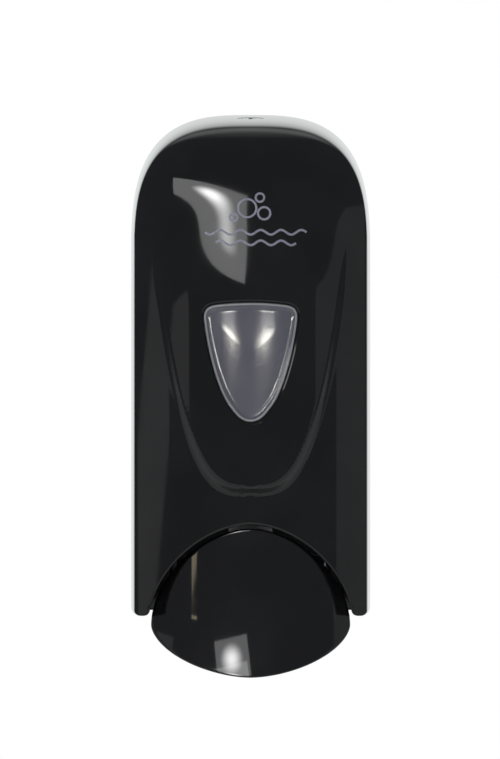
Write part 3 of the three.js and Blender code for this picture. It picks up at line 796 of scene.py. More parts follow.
@dataclass(frozen=True)
class CoverForm:
    """The cover's outer surface as outlines and a depth over x and height."""

    half_width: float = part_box("cover_shell")[1].x / MM
    top: float = (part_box("cover_shell")[1].z - FOOT) / MM
    bottom: float = (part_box("cover_shell")[0].z - FOOT) / MM
    face_margin: float = 2.05
    face_drop: float = 7.1
    arch_rise: float = 69.4
    wall: float = 2.6
    back: float = 1.5
    edge_depths: Pair = (82.0, 70.0)
    crown: float = 15.0
    tongue: float = 4.8
    tongue_tip: float = 86.0
    tongue_step: float = 4.8
    tongue_half_width: float = 46.0
    tongue_fade: Pair = (176.0, 238.0)
    tongue_reach: float = 25.0
    tongue_climb: float = 14.0
    tongue_power: float = 3.17
    tongue_round: float = 2.2
    chamfer: float = 0.9
    chamfer_share: float = 0.045
    chamfer_width: float = 2.6
    chamfer_fade: Pair = (205.0, 250.0)
    bow: float = 0.55
    mouth_half_width: float = 48.5
    mouth_base: float = 25.0
    mouth_apex: float = 72.4
    mouth_power: float = 1.8
    hinge: Pair = (9.0, 37.0)
    heel: float = 7.8
    heel_blend: float = 60.0
    lock_depth: float = 33.0

    @property
    def face_half_width(self) -> float:
        """Half width of the front face."""
        return self.half_width - self.face_margin

    @property
    def face_top(self) -> float:
        """Height of the front face's top edge."""
        return self.top - self.face_drop

    @property
    def shoulder(self) -> float:
        """Height where the straight sides meet the rounded top."""
        return self.top - self.arch_rise

    def top_edge(self, x: np.ndarray, half_width: float, top: float) -> np.ndarray:
        """Height of the rounded top above each x.

        Args:
            x: places across.
            half_width: the outline's half width.
            top: the outline's top.

        Returns:
            The heights.
        """
        across = np.clip(np.abs(x) / half_width, 0, 1) ** 3
        return self.shoulder + (top - self.shoulder) * (1 - across) ** (1 / 3)

    def mouth_edge(self, x: np.ndarray) -> np.ndarray:
        """Height of the lever's arched opening above each x."""
        across = np.clip(np.abs(x) / self.mouth_half_width, 0, 1) ** self.mouth_power
        return self.mouth_base + (self.mouth_apex - self.mouth_base) * (1 - across) ** (1 / self.mouth_power)

    def tongue_rise(self, x: np.ndarray, height: np.ndarray) -> np.ndarray:
        """How far the raised tongue stands proud of the crowned face.

        Args:
            x: places across.
            height: places up.

        Returns:
            The rise in millimetres.
        """
        near = np.abs(x) / self.tongue_reach
        edge = self.tongue_tip + self.tongue_climb * near ** self.tongue_power
        slope = self.tongue_climb * self.tongue_power / self.tongue_reach * near ** (self.tongue_power - 1)
        inside = (height - edge) / np.hypot(1, slope)
        fade = 1 - ramp(height, *self.tongue_fade)
        spread = np.clip(1 - (np.abs(x) / self.tongue_half_width) ** self.tongue_round, 0, 1)
        return self.tongue * rounded_step(inside, self.tongue_step) * fade * spread

    def depth(self, x: np.ndarray, height: np.ndarray, detail: bool = True) -> np.ndarray:
        """Depth of the front face.

        Args:
            x: places across.
            height: places up.
            detail: whether the top's chamfer is added.

        Returns:
            The depths in millimetres.
        """
        x, height = np.asarray(x, float), np.asarray(height, float)
        rise = (height - self.bottom) / (self.face_top - self.bottom)
        edge = self.edge_depths[0] + (self.edge_depths[1] - self.edge_depths[0]) * rise
        across = np.clip(np.abs(x) / self.face_half_width, 0, 1) ** 2.4
        up = np.clip((height - self.shoulder) / (self.face_top - self.shoulder), 0, 1.2) ** 5
        left = np.clip(1 - across - up, 0, 1)
        result = edge + self.crown * left + self.tongue_rise(x, height)
        if detail:
            width = self.chamfer_width * ramp(height, *self.chamfer_fade)
            from_edge = left / self.chamfer_share
            result = result - self.chamfer * np.clip(1 - from_edge / np.maximum(width, 0.01), 0, 1)
        return result


@dataclass
class Cover:
    """The hinged cover: shell, window lens, its retainer and the print."""

    palette: Palette
    form: CoverForm = field(default_factory=CoverForm)
    rows: int = 260
    mouth_columns: int = 62
    wall_rows: int = 14
    foot_radius: float = 3.0
    foot_steps: int = 5
    corner_steps: int = 6
    window_middle: Pair = (0.0, 152.0)
    bubble_stroke: float = 0.5
    wave_stroke: float = 0.55
    wave_height: float = 1.1
    wave_length: float = 9.6
    wave_shift: float = 2.4

    def half_columns(self) -> list[tuple[float, float]]:
        """x and lowest height of each column of the right half, from the middle outwards."""
        form, radius = self.form, self.foot_radius
        foot_top = form.bottom + radius
        lowest = (foot_top - form.mouth_base) / (form.mouth_apex - form.mouth_base)
        start = math.asin(lowest ** (form.mouth_power / 2))
        columns = []
        for i in range(self.mouth_columns + 1):
            angle = math.pi / 2 + (start - math.pi / 2) * i / self.mouth_columns
            x = form.mouth_half_width * math.cos(angle) ** (2 / form.mouth_power)
            columns.append((x, float(form.mouth_edge(np.array(x)))))
        inner = columns[-1][0] + radius
        outer = form.face_half_width - radius
        for i in range(1, self.foot_steps + 1):
            angle = math.pi / 2 * i / self.foot_steps
            columns.append((inner - radius * math.cos(angle), foot_top - radius * math.sin(angle)))
        columns.append(((inner + outer) / 2, form.bottom))
        for i in range(self.corner_steps + 1):
            angle = math.pi / 2 * i / self.corner_steps
            columns.append((outer + radius * math.sin(angle), foot_top - radius * math.cos(angle)))
        return columns

    def face_grid(self, inset: float) -> tuple[np.ndarray, np.ndarray, np.ndarray]:
        """Places of the front face's grid, columns by rows.

        Args:
            inset: 0 for the outside, the wall's thickness for the inside.

        Returns:
            x, height and depth of each corner.
        """
        form = self.form
        half = self.half_columns()
        full = [(-x, low) for x, low in reversed(half[1:])] + half
        x = np.array([c[0] for c in full])
        low = np.array([c[1] for c in full])
        if inset:
            limit = form.face_half_width - self.foot_radius
            over = np.clip(np.abs(x) - limit, 0, None) * (self.foot_radius - inset) / self.foot_radius
            x = np.sign(x) * (np.minimum(np.abs(x), limit) + over)
        high = form.top_edge(x, form.face_half_width - inset, form.face_top - inset)
        t = np.linspace(0, 1, self.rows)
        grid_x = np.repeat(x[:, None], self.rows, 1)
        height = low[:, None] + (high - low)[:, None] * t[None, :]
        depth = form.depth(grid_x, height, detail=not inset) - inset
        return grid_x, height, depth

    def rim_path(self, columns: int) -> list[tuple[int, int]]:
        """Grid corners along the cover's rim, from the left foot over the top to the right foot."""
        feet = [(c, 0) for c in range(self.corner_steps, 0, -1)]
        left = [(0, r) for r in range(self.rows)]
        top = [(c, self.rows - 1) for c in range(1, columns)]
        right = [(columns - 1, r) for r in range(self.rows - 2, -1, -1)]
        return feet + left + top + right + [(columns - 1 - c, 0) for c, _ in reversed(feet)]

    def wall_point(self, x: float, height: float, depth: float, share: float, inset: float) -> Vector:
        """A place on the side wall.

        Args:
            x: the rim's x at the front.
            height: the rim's height at the front.
            depth: the rim's depth at the front.
            share: 0 at the front, 1 at the back edge.
            inset: 0 for the outside, the wall's thickness for the inside.

        Returns:
            The point.
        """
        form = self.form
        d = depth + (form.back - depth) * share
        bowed = share ** form.bow
        widen = 1 + bowed * form.face_margin / (form.face_half_width - inset)
        rise = form.top - inset - form.shoulder
        lift = 1 + bowed * (rise / (form.face_top - inset - form.shoulder) - 1)
        h = height if height < form.shoulder else form.shoulder + (height - form.shoulder) * lift
        hinge_depth, hinge_height = form.hinge
        if d < hinge_depth:
            heel = hinge_height - math.sqrt(max(0.0, form.heel ** 2 - (hinge_depth - d) ** 2))
            if h < form.heel_blend:
                h = heel + (h - form.bottom) * (form.heel_blend - heel) / (form.heel_blend - form.bottom)
        return spot(x * widen, d, h)

    def skin(self, base: int, inset: float) -> tuple[list, list, list, list]:
        """The cover's outer or inner skin.

        Args:
            base: the number of its first corner.
            inset: 0 for the outside, the wall's thickness for the inside.

        Returns:
            Its points, its faces, the mouth's corner numbers and those of each ring round the wall.
        """
        x, height, depth = self.face_grid(inset)
        columns = x.shape[0]
        number = base + np.arange(columns * self.rows).reshape(columns, self.rows)
        points = [spot(x[c, r], depth[c, r], height[c, r]) for c in range(columns) for r in range(self.rows)]
        path = self.rim_path(columns)
        rings = [[int(number[c, r]) for c, r in path]]
        shares = [0.008, 0.016, 0.028, 0.045] if inset else [0.004, 0.012, 0.024, 0.04]
        for share in shares + list(np.linspace(0.06, 1, self.wall_rows)):
            rings.append(list(range(base + len(points), base + len(points) + len(path))))
            points += [self.wall_point(x[c, r], height[c, r], depth[c, r], share, inset) for c, r in path]
        cells = ((number[c, r], number[c + 1, r], number[c + 1, r + 1], number[c, r + 1])
                 for c in range(columns - 1) for r in range(self.rows - 1))
        faces = [tuple(int(corner) for corner in cell) for cell in cells]
        for a, b in zip(rings, rings[1:]):
            faces += self.bridge(a, b)
        if inset:
            faces = [face[::-1] for face in faces]
        mouth = [int(n) for n in number[self.corner_steps:-self.corner_steps, 0]]
        return points, faces, mouth, rings

    @staticmethod
    def bridge(a: Sequence[int], b: Sequence[int]) -> list[tuple[int, ...]]:
        """Faces between two lines of corners."""
        return [(a[i], a[i + 1], b[i + 1], b[i]) for i in range(len(a) - 1)]

    def shell_surface(self) -> bpy.types.Object:
        """The cover's closed skin, outside and inside, before its holes."""
        points, faces, mouth_out, rings_out = self.skin(0, 0.0)
        inner_points, inner_faces, mouth_in, rings_in = self.skin(len(points), self.form.wall)
        faces += inner_faces + self.bridge(mouth_out, mouth_in) + self.bridge(rings_out[-1], rings_in[-1])
        for end in (0, -1):
            faces += self.bridge([ring[end] for ring in rings_out], [ring[end] for ring in rings_in])
        shell = named_mesh("cover_shell_fine", points + inner_points, faces)
        tidy_normals(shell)
        return shell

    def window_outline(self, steps: int = 18) -> np.ndarray:
        """The window's outline in x and height, anticlockwise from the foot."""
        spans = [((0, 120.7), (3.2, 120.7), (6, 122.4), (9, 126.6)),
                 ((9, 126.6), (15.5, 134), (20.5, 153), (22.3, 168.6)),
                 ((22.3, 168.6), (23.1, 174.2), (20.5, 176.1), (16.5, 176.6)),
                 ((16.5, 176.6), (11, 177.3), (5, 177.6), (0, 177.6))]
        half = []
        for a, b, c, d in spans:
            for i in range(steps):
                t = i / steps
                weights = ((1 - t) ** 3, 3 * t * (1 - t) ** 2, 3 * t * t * (1 - t), t ** 3)
                half.append([sum(w * p[k] for w, p in zip(weights, (a, b, c, d))) for k in (0, 1)])
        half.append([0, 177.6])
        left = [[-x, h] for x, h in half[-2:0:-1]]
        return np.array(half + left)

    def outline_ring(self, offset: float) -> np.ndarray:
        """The window's outline moved outwards by an offset."""
        ring = self.window_outline()
        along = np.roll(ring, -1, 0) - np.roll(ring, 1, 0)
        along /= np.linalg.norm(along, axis=1)[:, None]
        outward = np.stack([along[:, 1], -along[:, 0]], 1)
        return ring + offset * outward

    def on_face(self, outline: np.ndarray, below: float) -> list[Vector]:
        """An outline in x and height laid on the face, or sunk below it."""
        depth = self.form.depth(outline[:, 0], outline[:, 1]) - below
        return [spot(x, d, h) for (x, h), d in zip(outline, depth)]

    def stacked(self, name: str, layers: Sequence[tuple[np.ndarray, float]]) -> bpy.types.Object:
        """A closed body over stacked outlines that follow the face.

        Args:
            name: the object's name.
            layers: each layer's outline and how far it lies below the face.

        Returns:
            The new object.
        """
        return lofted(name, [self.on_face(*layer) for layer in layers])

    def mouth_ring(self, offset: float) -> np.ndarray:
        """The lever's arched opening with straight sides below it, moved outwards by an offset."""
        form, power = self.form, self.form.mouth_power
        angle = np.linspace(0.0, math.pi, 121)
        x = form.mouth_half_width * np.abs(np.cos(angle)) ** (2 / power) * np.sign(np.cos(angle))
        height = form.mouth_base + (form.mouth_apex - form.mouth_base) * np.sin(angle) ** (2 / power)
        below = 12.0
        ring = np.vstack([[form.mouth_half_width, below], np.stack([x, height], 1),
                          [-form.mouth_half_width, below]])
        along = np.vstack([[0, 1], ring[2:] - ring[:-2], [0, -1]])
        along = along / np.linalg.norm(along, axis=1)[:, None]
        return ring + offset * np.stack([along[:, 1], -along[:, 0]], 1)

    def hoop(self, name: str, layers: Sequence[tuple[np.ndarray, float]]) -> bpy.types.Object:
        """A closed band whose section runs through the given outlines.

        Args:
            name: the object's name.
            layers: each corner of the section as an outline and how far it lies below the face.

        Returns:
            The new object.
        """
        band = lofted(name, [self.on_face(*layer) for layer in layers], closed=True)
        smooth(band, 60)
        return band

    def build_shell(self) -> None:
        """The shell with its window, lock hole and hinge bosses."""
        shell = self.shell_surface()
        cutter = self.stacked("window_cut", [
            (self.outline_ring(2.2), -2.0), (self.outline_ring(1.1), 0.0),
            (self.outline_ring(0.45), 0.35), (self.outline_ring(0.1), 0.9),
            (self.outline_ring(0.0), 1.6), (self.outline_ring(0.0), 12.0)])
        combine(shell, cutter, "DIFFERENCE")
        lip = self.stacked("mouth_lip", [(self.mouth_ring(offset), below) for offset, below in (
            (2.6, -2.0), (0.95, -0.01), (0.6, 0.1), (0.28, 0.36), (0.08, 0.75), (-0.06, 1.3), (-0.3, 2.0))])
        combine(shell, lip, "DIFFERENCE")
        for side in Side:
            boss = rod("boss", Axis.ACROSS, 6.5, (side.value * 50.3, side.value * 55.6), self.form.hinge)
            combine(shell, boss, "UNION")
            hole = rod("hole", Axis.ACROSS, 2.3, (side.value * 49.0, side.value * 55.2), self.form.hinge)
            combine(shell, hole, "DIFFERENCE")
        lock = (0, self.form.lock_depth)
        combine(shell, rod("lock_boss", Axis.UPRIGHT, 9.2, (253, 262.6), lock), "UNION")
        combine(shell, rod("lock_hole", Axis.UPRIGHT, 6.15, (250, 270), lock), "DIFFERENCE")
        smooth(shell, 28)
        fit(shell, "cover", "cover_black", self.palette.cover, "cover_shell")

    def build_lens(self) -> None:
        """The window lens with its rounded, slightly proud rim, and a pale bead round it whose light grey is
        a painted highlight of the rim.
        """
        rings = [(-0.35, 1.9), (-0.36, 0.9), (-0.45, 0.35), (-0.7, 0.05), (-1.05, -0.05), (-1.5, 0.1),
                 (-2.0, 0.45), (-2.6, 0.7)]
        flange = [(0.9, 4.1), (0.9, 3.0), (-0.36, 2.95)]
        layers = [(self.outline_ring(offset), below) for offset, below in flange + rings]
        core = self.outline_ring(rings[-1][0])
        centre = np.array(self.window_middle)
        for scale in np.linspace(0.94, 0.04, 16):
            layers.append((centre + (core - centre) * scale, 0.75 - 0.35 * (1 - scale ** 2)))
        lens = self.stacked("window_lens_fine", layers)
        smooth(lens, 40)
        fit(lens, "cover", "window_clear", self.palette.window, "window_lens")
        # A separate bead round the lens in a pale grey finish: a painted highlight for the rim's bright edge
        # line.
        section = ((-0.42, 0.5), (-0.45, 0.1), (-0.8, -0.22), (-1.2, -0.2), (-1.45, 0.12), (-1.5, 0.5))
        painted_highlight_bead = [(self.outline_ring(offset), below) for offset, below in section]
        fit(self.hoop("window_painted_highlight_bead", painted_highlight_bead), "cover", "window_clear", self.palette.painted_highlight_bead)

    def build_print(self) -> None:
        """Soap bubbles over two waves, drawn flat in millimetres and then laid on the face."""
        discs = [(-1.6, 222.0, 4.3), (6.4, 219.6, 2.9), (4.4, 227.0, 2.0), (-8.0, 217.6, 1.8)]
        rings = []
        for x, height, radius in discs:
            bpy.ops.object.select_all(action="DESELECT")
            bpy.ops.mesh.primitive_torus_add(major_segments=48, minor_segments=8,
                                             minor_radius=self.bubble_stroke,
                                             major_radius=radius, rotation=(math.pi / 2, 0, 0),
                                             location=(x, 0, height))
            rings.append(bpy.context.active_object)
        for level, reach in ((210.6, 24.0), (205.6, 19.0)):
            line = [Vector((x + self.wave_shift, 0,
                            level + self.wave_height * math.sin(2 * math.pi * x / self.wave_length)))
                    for x in np.linspace(-reach, reach, 97)]
            rings.append(wire("wave", line, self.wave_stroke / MM, 3))
        stroke = rings.pop()
        for obj in rings:
            settle(obj)
        only(stroke)
        for obj in rings:
            obj.select_set(True)
        bpy.ops.object.join()
        mark = bpy.context.active_object
        mark.name = "cover_print"
        for vertex in mark.data.vertices:
            x, y, height = vertex.co
            depth = float(self.form.depth(np.array(x), np.array(height)))
            vertex.co = spot(x, depth + 0.02 - 0.05 * y, height)
        smooth(mark, 60)
        fit(mark, "cover", "pump_white", self.palette.ink)

    def build(self) -> None:
        """Builds and dresses every piece of the cover."""
        self.build_shell()
        self.build_lens()
        self.build_print()
        dress(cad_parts["window_retainer"], self.palette.chassis)


# ---- Push lever ---------------------------------------------------------------------------------


@dataclass
class PushLever:
    """The domed push lever with its arms, and the fork that lifts the pump."""

    palette: Palette
    form: CoverForm = field(default_factory=CoverForm)
    half_width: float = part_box("push_lever")[1].x / MM
    apex: float = 70.6
    foot_power: float = 1.75
    wall: float = 2.4
    sweep_gap: float = 1.0
    top_depth: float = 87.0
    flare: Pair = (3.3, 30.0)
    crown: float = 12.0
    pivot: Pair = (72.0, 78.0)
    outline_steps: int = 176
    arm_faces: Pair = (34.5, 38.0)
    boss_radius: float = 6.0
    fork_screw: Pair = (61.0, 54.0)

    def depth(self, x: np.ndarray, height: np.ndarray) -> np.ndarray:
        """Depth of the dome, held inside the path of the opening cover's arch.

        Args:
            x: places across.
            height: places up.

        Returns:
            The depths in millimetres.
        """
        form = self.form
        hinge_depth, hinge_height = form.hinge
        edge = form.mouth_edge(x)
        reach = np.hypot(form.depth(x, edge, False) - form.wall - hinge_depth, edge - hinge_height)
        limit = hinge_depth + np.sqrt((reach - self.sweep_gap) ** 2 - (height - hinge_height) ** 2)
        flare = self.flare[0] * np.clip(1 - height / self.flare[1], 0, None) ** 2
        return np.minimum(limit, self.top_depth + flare - self.crown * (x / self.half_width) ** 2)

    def ring(self, scale: float, back: float, inset: float) -> list[Vector]:
        """One ring of the dome.

        Args:
            scale: 1 at the outline, 0 at the middle.
            back: how far the ring lies behind the dome's face.
            inset: 0 for the outside, the wall's thickness for the inside.

        Returns:
            The ring's points.
        """
        base = self.form.mouth_base
        angle = np.linspace(0, 2 * math.pi, self.outline_steps, endpoint=False)
        upper = np.sin(angle) >= -1e-9
        power = np.where(upper, self.form.mouth_power, self.foot_power)
        rise = np.where(upper, self.apex - base, base) - inset
        x = (self.half_width - inset) * np.abs(np.cos(angle)) ** (2 / power) * np.sign(np.cos(angle))
        up = rise * np.abs(np.sin(angle)) ** (2 / power) * np.sign(np.sin(angle))
        x, height = x * scale, base + up * scale
        depth = self.depth(x, height) - inset
        skirt = 5 + 3 * height / self.apex if back < 0 else back
        return [spot(*p) for p in zip(x, depth - skirt, height)]

    def dome(self) -> bpy.types.Object:
        """The closed shell of the dome and its skirt."""
        fillet = [(1.0, 0.9), (0.9985, 0.6), (0.995, 0.33), (0.989, 0.14), (0.981, 0.04), (0.972, 0.0)]
        outside = [self.ring(1, -1, 0), self.ring(1, 2.4, 0)]
        outside += [self.ring(scale, back, 0) for scale, back in fillet]
        outside += [self.ring(scale, 0, 0) for scale in np.linspace(0.95, 0.03, 52)]
        inside = [self.ring(1, -1, self.wall)]
        inside += [self.ring(scale, 0, self.wall) for scale in np.linspace(1, 0.03, 30)]
        count = self.outline_steps
        inner = len(outside) * count
        last = inner + (len(inside) - 1) * count
        points = [point for ring in outside + inside for point in ring]
        faces = ring_faces(count, len(outside)) + [tuple(range(inner - count, inner))]
        faces += [face[::-1] for face in ring_faces(count, len(inside), inner)]
        faces += [tuple(range(last, last + count))]
        faces += [(i, (i + 1) % count, inner + (i + 1) % count, inner + i) for i in range(count)]
        dome = named_mesh("push_lever_fine", points, faces)
        tidy_normals(dome)
        return dome

    def arm_outline(self) -> list[Pair]:
        """Depth and height along an arm's edge, with the round end at the pivot."""
        depth, height = self.pivot
        end = [(depth + self.boss_radius * math.cos(a), height + self.boss_radius * math.sin(a))
               for a in np.linspace(math.radians(10), math.radians(180), 20)]
        return end + [(66, 70), (56.5, 58.5), (56.5, 48), (64, 43), (72, 33), (78.3, 30), (78.3, 49),
                      (77.5, 60)]

    def build(self) -> None:
        """Builds and dresses the lever and its fork."""
        lever = self.dome()
        for side in Side:
            span = tuple(sorted(side.value * face for face in self.arm_faces))
            arm = plate_from("arm", self.arm_outline(), span)
            bevel(arm, 0.5)
            combine(lever, arm, "UNION")
        combine(lever, rod("axle_hole", Axis.ACROSS, 2.3, (-42, 42), self.pivot), "DIFFERENCE")
        combine(lever, rod("screw_hole", Axis.ACROSS, 1.5, (-42, 42), self.fork_screw), "DIFFERENCE")
        smooth(lever, 30)
        fit(lever, "lever", "lever_black", self.palette.lever, "push_lever")
        fit(softened_copy("lift_fork", 0.4), "lever", "shelf_grey", self.palette.grey, "lift_fork")


# ---- Fasteners and round parts ------------------------------------------------------------------


@dataclass
class Screw:
    """A pan head screw with a cross recess, made upright and turned into its place."""

    node: str
    body: str
    shank: float
    radius: float = 1.5
    head: float = 2.95
    pitch: float = 0.9
    recess: Pair = (0.75, 1.7)

    def profile(self) -> list[Pair]:
        """Radius and height of the threaded shank and the domed head."""
        root = self.radius * 0.86
        corners = [(0, 0), (self.radius * 0.7, 0), (self.radius * 0.9, 0.8)]
        for i in range(int((self.shank - 1.6) / self.pitch)):
            base = self.pitch * (i + 1)
            corners += [(root, base), (self.radius, base + 0.3), (root, base + 0.6)]
        corners += [(self.radius, self.shank), (self.head, self.shank), (self.head, self.shank + 0.7)]
        dome = [(self.head * 0.86, 1.5), (self.head * 0.5, 2.1), (0, 2.2)]
        return corners + [(radius, self.shank + above) for radius, above in dome]

    def placing(self) -> Matrix:
        """The move from upright at the origin to where the frame node lies."""
        low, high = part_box(self.node)
        size, centre = high - low, (low + high) / 2
        along = max(range(3), key=lambda k: size[k])
        corners = np.array([v.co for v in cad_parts[self.node].data.vertices])
        reach = np.linalg.norm(np.delete(corners - np.array(centre), along, 1), axis=1)
        head_place = corners[reach > 0.8 * reach.max()][:, along].mean()
        to_head = Vector((0, 0, 0))
        to_head[along] = 1 if head_place > centre[along] else -1
        start = centre.copy()
        start[along] = low[along] if to_head[along] > 0 else high[along]
        turn = Vector((0, 0, 1)).rotation_difference(to_head).to_matrix().to_4x4()
        return Matrix.Translation(start) @ turn

    def build(self, material: bpy.types.Material) -> None:
        """Builds the screw over its frame node.

        Args:
            material: its finish.
        """
        screw = spun(f"{self.node}_fine", self.profile(), 0, 0, 40)
        screw.data.transform(Matrix.Translation(-spot(0, 0, 0)))
        width, height = self.recess
        for turn in (0, math.pi / 2):
            size = (self.head * 1.1 * MM, width * MM, height * MM)
            combine(screw, block((0, 0, (self.shank + 2.0) * MM), size, turn), "DIFFERENCE")
        screw.data.transform(self.placing())
        smooth(screw, 35)
        fit(screw, self.body, "steel", material, self.node)


@dataclass
class WallUnit:
    """The wall plate and everything fixed to it, but for the refill."""

    palette: Palette
    pivot: Pair = PushLever.pivot
    hinge: Pair = CoverForm.hinge
    rod_radius: float = 2.0
    clip_radius: float = 4.5
    spring_x: float = 32.0

    def build_springs(self) -> None:
        """The two torsion springs round the lever's axle."""
        depth, height = self.pivot
        coil, pitch, turns, per_turn = 4.0, 1.7, 4, 28
        for side in Side:
            sign = side.value
            outer, inner = sign * self.spring_x, sign * (self.spring_x - pitch * turns)
            points = [spot(outer, depth - coil, 94.3), spot(outer, depth - coil, 86)]
            for i in range(turns * per_turn + 1):
                angle = math.pi + 2 * math.pi * i / per_turn
                points.append(spot(sign * (self.spring_x - pitch * i / per_turn),
                                   depth + coil * math.cos(angle), height + coil * math.sin(angle)))
            points += [spot(inner, depth - coil, 71), spot(inner, depth - coil + 1, 64.7)]
            name = f"lever_spring_{side.name.lower()}"
            fit(wire(f"{name}_fine", points, 0.5), "wall_unit", "spring_steel", self.palette.spring, name)

    def build_rods(self) -> None:
        """The lever's axle with its clips, and the cover's hinge pins."""
        axle = rod("lever_axle_fine", Axis.ACROSS, self.rod_radius, (-46.5, 46.5), self.pivot)
        for side in Side:
            inner = side.value * 43.35
            groove = rod("groove", Axis.ACROSS, 3.0, (inner, inner + side.value * 1.1), self.pivot)
            core = rod("core", Axis.ACROSS, 1.6, (inner - side.value, inner + side.value * 2.2), self.pivot)
            combine(groove, core, "DIFFERENCE")
            combine(axle, groove, "DIFFERENCE")
        bevel(axle, 0.3)
        smooth(axle)
        fit(axle, "wall_unit", "steel", self.palette.steel, "lever_axle")
        for side in Side:
            name, sign = side.name.lower(), side.value
            pin = rod(f"hinge_pin_{name}_fine", Axis.ACROSS, self.rod_radius,
                      (sign * 42, sign * 55.1), self.hinge)
            bevel(pin, 0.4)
            smooth(pin)
            fit(pin, "wall_unit", "steel", self.palette.steel, f"hinge_pin_{name}")
            clip = rod(f"axle_clip_{name}_fine", Axis.ACROSS, self.clip_radius,
                       (sign * 43.5, sign * 44.3), self.pivot)
            combine(clip, rod("bore", Axis.ACROSS, 2.15, (sign * 43, sign * 45), self.pivot), "DIFFERENCE")
            notch_ring = self.clip_radius + 0.4
            for angle in (math.radians(270), math.radians(20), math.radians(160)):
                place = (self.pivot[0] + notch_ring * math.cos(angle),
                         self.pivot[1] + notch_ring * math.sin(angle))
                notch = rod("notch", Axis.ACROSS, 1.5, (sign * 43, sign * 45), place, 24)
                combine(clip, notch, "DIFFERENCE")
            bevel(clip, 0.12)
            smooth(clip)
            fit(clip, "wall_unit", "spring_steel", self.palette.spring, f"axle_clip_{name}")

    def build(self) -> None:
        """Builds and dresses every fixed piece."""
        for node, width, slot, material in (
                ("wall_plate", 0.5, "chassis_black", self.palette.chassis),
                ("pump_shelf", 0.5, "shelf_grey", self.palette.grey),
                ("latch_keeper", 0.3, "steel", self.palette.steel)):
            fit(softened_copy(node, width), "wall_unit", slot, material, node)
        self.build_rods()
        self.build_springs()
        for side in ("left", "right"):
            dress(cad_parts[f"foam_tape_{side}"], self.palette.tape)


# ---- Refill -------------------------------------------------------------------------------------


